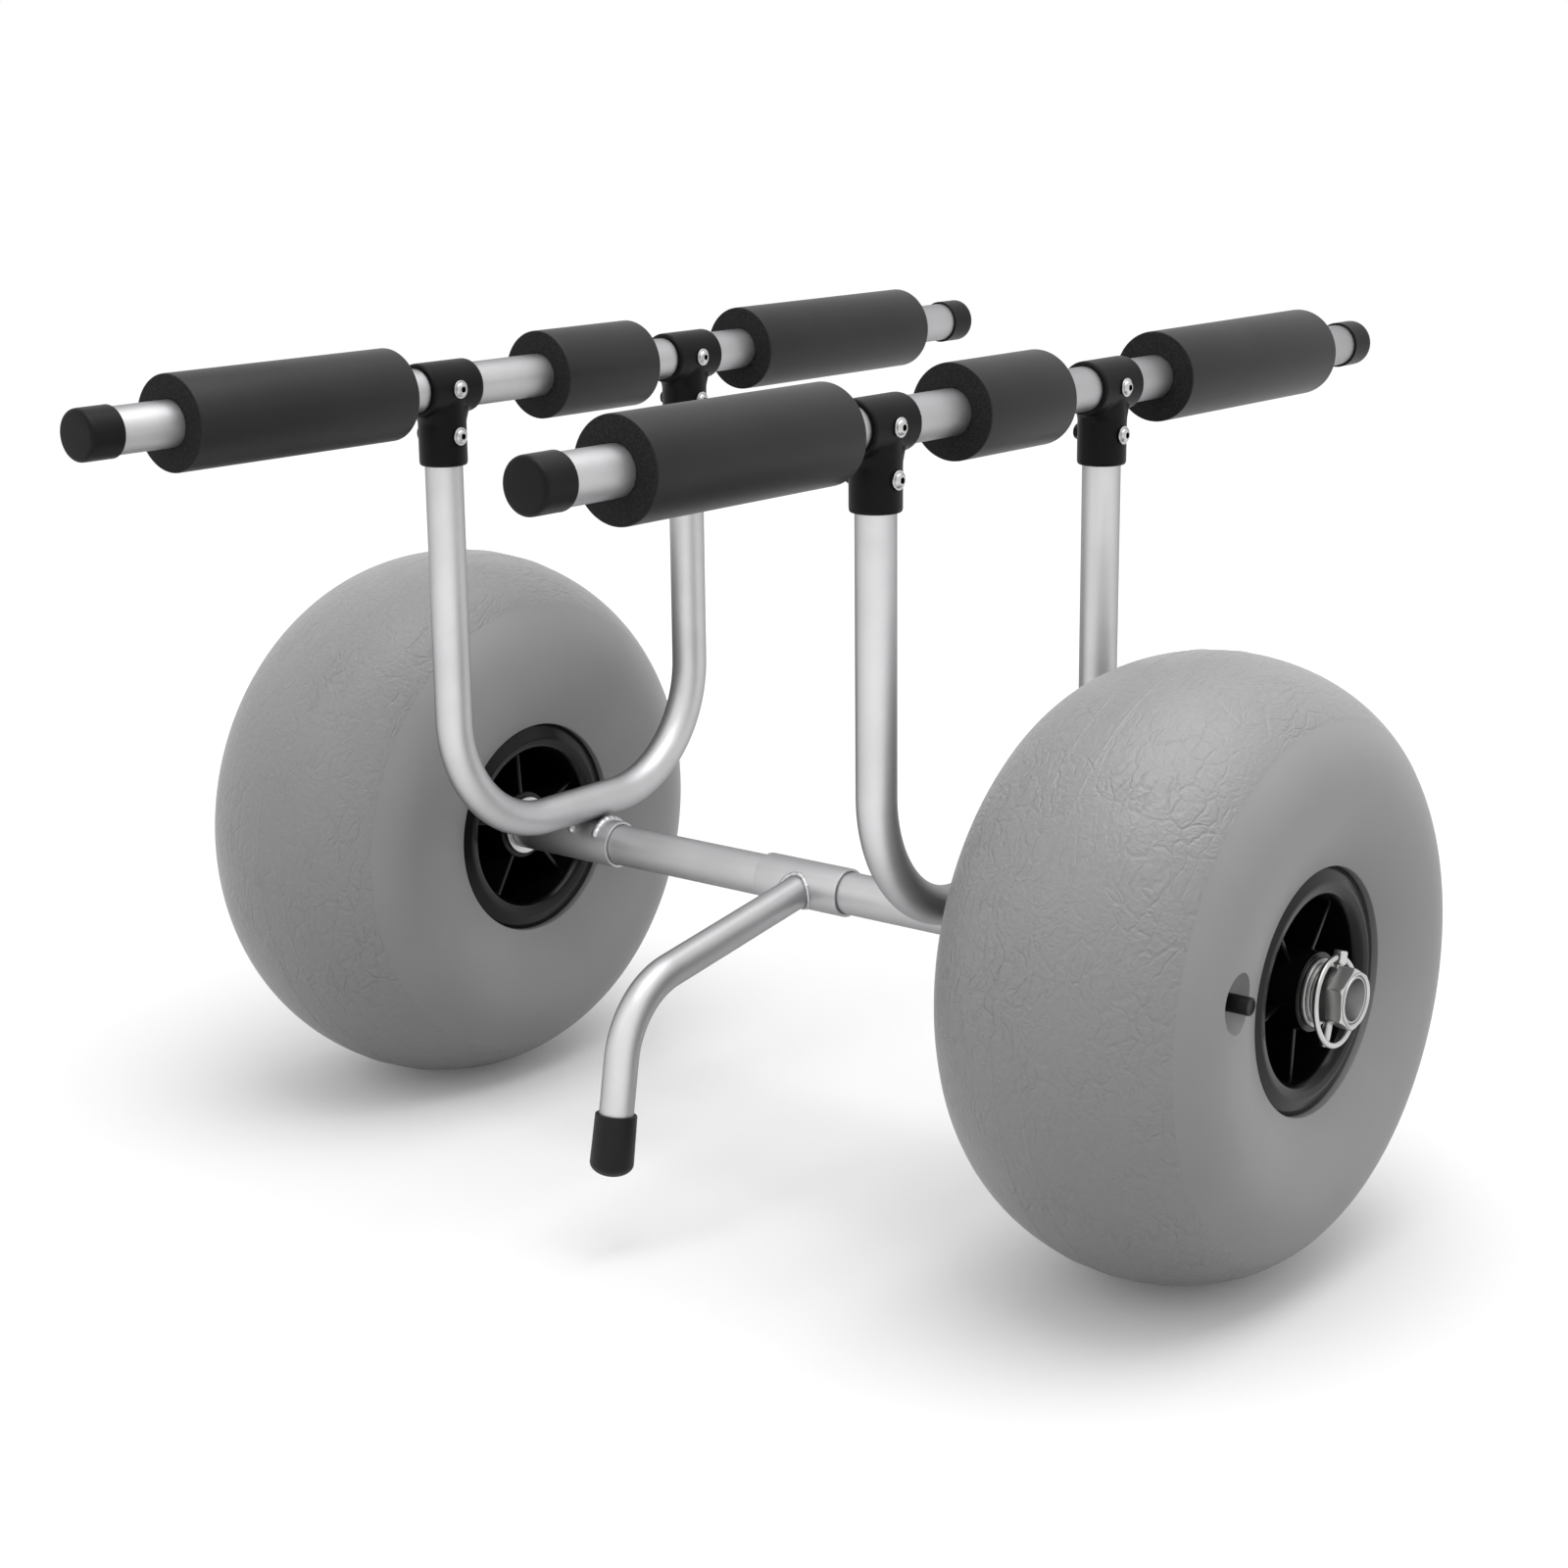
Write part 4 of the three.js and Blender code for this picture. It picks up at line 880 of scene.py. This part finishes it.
def makeTee():
    bar = turned("tee", [(-tee["half"], 0), (-tee["half"], tee["bar"], 2), (tee["half"], tee["bar"], 2),
                         (tee["half"], 0)], "tee_plastic", 96)
    move(bar, turn(90, "Z"))
    leg = turned("leg", [(-tee["drop"], 0), (-tee["drop"], tee["leg"], 2), (0, tee["leg"]), (0, 0)],
                 "tee_plastic", 96)
    move(leg, turn(-90, "Y"))
    web = bmesh.new()
    for share, level in tee["webLevels"]:
        for step in range(48):
            angle = 2 * math.pi * step / 48
            across = (tee["leg"] + tee["webReach"] * share) * math.sin(angle)
            point = Vector((tee["leg"] * 0.985 * math.cos(angle), across, -tee["bar"] + level))
            web.verts.new(point / 1000)
    bmesh.ops.convex_hull(web, input=web.verts)
    mesh = bpy.data.meshes.new("web")
    web.to_mesh(mesh)
    web.free()
    webPiece = bpy.data.objects.new("web", mesh)
    scene.collection.objects.link(webPiece)
    carve(bar, [leg, webPiece], "UNION")
    melt = bar.modifiers.new("melt", "REMESH")
    melt.mode, melt.voxel_size = "VOXEL", tee["voxel"] / 1000
    ease = bar.modifiers.new("ease", "SMOOTH")
    ease.factor, ease.iterations = 0.5, 12
    thin = bar.modifiers.new("thin", "DECIMATE")
    thin.ratio = 0.3
    applyAll(bar)
    bore = rod("bore", -40, 40, tee["barBore"], "tee_plastic")
    socket = rod("socket", -60, tee["socketTop"], tee["legBore"], "tee_plastic")
    tools = [move(bore, turn(90, "Z")), move(socket, turn(-90, "Y"))]
    tools += [boltHole(0, 0), boltHole(0, -framePart["boltDrop"])]
    carve(bar, tools)
    bar.data.materials.clear()
    bar.data.materials.append(materials["tee_plastic"])
    return bar


# Flanged button-head bolts, their heads towards +X, and thin black nuts on the other side
bolt = {"radius": 3, "flange": 6.4, "flangeThickness": 1.1, "head": 5.1, "height": 3.4, "crown": 55,
        "socket": 2.35, "socketDepth": 2.6, "nut": 10, "nutHeight": 3.2, "nutFace": 4.9, "nutRound": 6,
        "proud": 0.4}


def makeBolt(name, face):
    under = face + 0.3
    end, dome = -face - 0.6 - bolt["nutHeight"] - bolt["proud"], under + bolt["flangeThickness"]
    section = [(end, 0), (end, bolt["radius"], 0.4), (under, bolt["radius"]),
               (under, bolt["flange"], 0.3), (dome, bolt["flange"], 0.5), (dome, bolt["head"])]
    crown = math.radians(bolt["crown"])
    for step in range(1, 9):
        angle = crown * step / 8
        section.append((dome + (under + bolt["height"] - dome) * math.sin(angle) / math.sin(crown),
                        bolt["head"] * math.cos(angle)))
    section.append((under + bolt["height"], 0))
    piece = turned(name, section, "stainless", 64)
    top, corner = under + bolt["height"], bolt["socket"]
    carve(piece, [rod("key", top - bolt["socketDepth"], top + 3, corner, "stainless", 6)])
    # Painted shade: the socket's faces take the black nylon finish in place of the shade inside the
    # recess
    piece.data.materials.append(materials["tee_plastic"])
    for polygon in piece.data.polygons:  # the socket's own faces are dark
        centre = polygon.center * 1000
        paintedSocketShade = math.hypot(centre.y, centre.z) < corner and under < centre.x < top - 0.01
        polygon.material_index = int(paintedSocketShade)
    return piece


def makeNut(name, face):
    corner, start, end = bolt["nut"] / math.sqrt(3), -face - 0.3 - bolt["nutHeight"], -face - 0.3
    across = bolt["nutRound"]
    piece = rod(name, start, end, corner, "tee_plastic", 6)
    blank = turned("blank", [(start, 0), (start, bolt["nutFace"]), (start + 0.8, across),
                             (end, across), (end, 0)], "tee_plastic", 48)
    carve(piece, [blank], "INTERSECT")
    return carve(piece, [rod("hole", start - 2, end + 2, framePart["boltHole"], "tee_plastic", 32)])


cap = {"outer": 17.2, "bore": 15.8, "length": 26, "base": 3, "edge": 3.2, "flat": 9}


def makeCap(name):
    outer, bore, length = cap["outer"], cap["bore"], cap["length"]
    section = [(-cap["base"], 0), (-cap["base"], bore), (-length, bore, 0.5), (-length, outer, 0.9),
               (-length + 3, outer - 0.1), (-cap["edge"] * 2, outer - 0.1),
               (-0.3, outer - 0.2, cap["edge"]), (0, outer - cap["flat"]), (0, 0)]
    return turned(name, section, "cap_rubber", 128, steps=8)


pads = {
    "radius": 32, "bore": 15.8, "edge": 1.2,
    "places": {"left": {"front": (-304, 192), "middle": (-7, 100), "rear": (281, 212)},
               "right": {"front": (-304, 192), "middle": (-25, 100), "rear": (281, 212)}},
}
teeModel = makeTee()


def makeFrame(side, sign):
    body = f"{side}_frame"
    tubePlace = shift(sign * framePart["x"], axle["y"], axle["z"])
    place = tubePlace @ turn(90 - sign * 90, "Z")
    tube = move(makeFrameTube(f"{side}FrameTube"), tubePlace)
    seat(tube, body, "aluminium", f"{side}_frame_tube")
    sleeve = turned(f"{side}FrameSleeve", ringProfile(tubes["sleeve"], tubes["sleeveBore"],
                    -framePart["sleeveInner"], framePart["sleeveOuter"], 0.5), "aluminium", 128)
    seat(move(sleeve, place), body, "aluminium", f"{side}_frame_sleeve")
    for number, along in enumerate((-framePart["weldAt"], framePart["weldAt"])):
        bead = move(frameWeld(f"{side}FrameWeld{number}", along), tubePlace)
        seat(bead, body, "aluminium", f"{side}_frame_sleeve")
    top = shift(sign * framePart["x"], 0, bunk["z"])
    bar = turned(f"{side}BunkBar", ringProfile(tubes["outer"], tubes["inner"], -bunk["half"],
                 bunk["half"], 0.5), "aluminium", 128)
    carve(move(bar, turn(90, "Z")), [boltHole(y, 0) for y in framePart["legs"]])
    seat(move(bar, top), body, "aluminium", f"{side}_bar")
    for end, y in zip(("front", "rear"), framePart["legs"]):
        node, at = f"{side}_{end}", top @ shift(0, y)
        seat(copyPiece(teeModel, f"{side}{end.title()}Tee", at), body, "tee_plastic", f"{node}_tee")
        for part, face, z in (("bar", tee["bar"], 0), ("leg", tee["leg"], -framePart["boltDrop"])):
            name, boltAt = f"{side}{end.title()}{part.title()}", at @ shift(0, 0, z)
            boltPiece = move(makeBolt(f"{name}Bolt", face), boltAt)
            seat(boltPiece, body, "stainless", f"{node}_{part}_bolt")
            nutPiece = move(makeNut(f"{name}Nut", face), boltAt)
            seat(nutPiece, body, "tee_plastic", f"{node}_{part}_nut")
        along = turn(90 if end == "rear" else -90, "Z")
        capPiece = move(makeCap(f"{side}{end.title()}Cap"), top @ along @ shift(bunk["end"]))
        seat(capPiece, body, "cap_rubber", f"{node}_cap")
    for name, (y, length) in pads["places"][side].items():
        pad = turned(f"{side}{name.title()}Pad", ringProfile(pads["radius"], pads["bore"], -length / 2,
                     length / 2, pads["edge"]), "foam", 160)
        move(pad, top @ shift(0, y) @ turn(90, "Z"))
        seat(pad, body, "foam", f"{side}_{name}_pad")


for side, sign in sides.items():
    makeFrame(side, sign)
bpy.data.objects.remove(teeModel)
print("frames and bunks done")


# A white studio: the camera, the metal and the gloss see it white, and the floor keeps the shadow.
# The floor glows a little more from fadeFrom to fadeTo, in metres from its middle.
studio = {
    "worldLight": 0.76, "floorHalf": 9, "floorSeen": 0.93, "floorBounce": 0.4, "glow": 0.07,
    "farGlow": 0.3, "fadeFrom": 0.7, "fadeTo": 2.2, "aim": (0, 0, 0.3),
    "lamps": {
        "topSoftbox": {"place": (0.45, -0.1, 2.5), "size": (2.2, 2.0), "power": 33},
        "keySoftbox": {"place": (-0.9, -2.4, 2.2), "size": (1.4, 1.4), "power": 5},
    },
}


# One for the rays that show the white studio: straight to the camera, or by way of metal or gloss
def shownRays(tree):
    path = addNode(tree, "ShaderNodeLightPath")
    plain = addNode(tree, "ShaderNodeMath", links={0: path.outputs["Is Camera Ray"],
                    1: path.outputs["Is Glossy Ray"]}, operation="MAXIMUM")
    return addNode(tree, "ShaderNodeMath", links={0: plain.outputs[0],
                   1: path.outputs["Is Transmission Ray"]}, operation="MAXIMUM").outputs[0]


def makeWorld():
    world = bpy.data.worlds.new("studio")
    world.use_nodes = True
    tree = world.node_tree
    tree.nodes.clear()
    strength = addNode(tree, "ShaderNodeMapRange", {"To Min": studio["worldLight"], "To Max": 1.0},
                       {"Value": shownRays(tree)})
    light = addNode(tree, "ShaderNodeBackground", {"Color": (1, 1, 1, 1)},
                    {"Strength": strength.outputs["Result"]})
    addNode(tree, "ShaderNodeOutputWorld", links={"Surface": light.outputs["Background"]})
    scene.world = world


def makeFloor():
    half = studio["floorHalf"]
    corners = [(-half, -half, 0), (half, -half, 0), (half, half, 0), (-half, half, 0)]
    mesh = bpy.data.meshes.new("studioFloor")
    mesh.from_pydata(corners, [], [(0, 1, 2, 3)])
    floor = bpy.data.objects.new("studioFloor", mesh)
    scene.collection.objects.link(floor)
    material = bpy.data.materials.new("paperSweep")
    material.use_nodes = True
    tree = material.node_tree
    tree.nodes.clear()
    coordinates = addNode(tree, "ShaderNodeTexCoord")
    distance = addNode(tree, "ShaderNodeVectorMath", links={0: coordinates.outputs["Object"]},
                       operation="LENGTH")
    glow = addNode(tree, "ShaderNodeMapRange", {
        "From Min": studio["fadeFrom"], "From Max": studio["fadeTo"],
        "To Min": studio["glow"], "To Max": studio["farGlow"]}, {"Value": distance.outputs["Value"]})
    lit = addNode(tree, "ShaderNodeBsdfDiffuse", {"Color": grey(studio["floorSeen"])})
    light = addNode(tree, "ShaderNodeEmission", {"Color": grey(1)},
                    {"Strength": glow.outputs["Result"]})
    shown = addNode(tree, "ShaderNodeAddShader", links={0: lit.outputs[0], 1: light.outputs[0]})
    bounced = addNode(tree, "ShaderNodeBsdfDiffuse", {"Color": grey(studio["floorBounce"])})
    mixed = addNode(tree, "ShaderNodeMixShader", links={
        0: shownRays(tree), 1: bounced.outputs[0], 2: shown.outputs[0]})
    addNode(tree, "ShaderNodeOutputMaterial", links={"Surface": mixed.outputs[0]})
    mesh.materials.append(material)


def makeLamps():
    for name, lamp in studio["lamps"].items():
        data = bpy.data.lights.new(name, "AREA")
        data.shape = "RECTANGLE"
        data.size, data.size_y = lamp["size"]
        data.energy = lamp["power"]
        lampObject = bpy.data.objects.new(name, data)
        scene.collection.objects.link(lampObject)
        aim = Vector(studio["aim"]) - Vector(lamp["place"])
        turnTo = aim.to_track_quat("-Z", "Y").to_matrix().to_4x4()
        lampObject.matrix_world = Matrix.Translation(lamp["place"]) @ turnTo


makeWorld()
makeFloor()
makeLamps()
scene.view_settings.view_transform = "Standard"
print("studio lit")
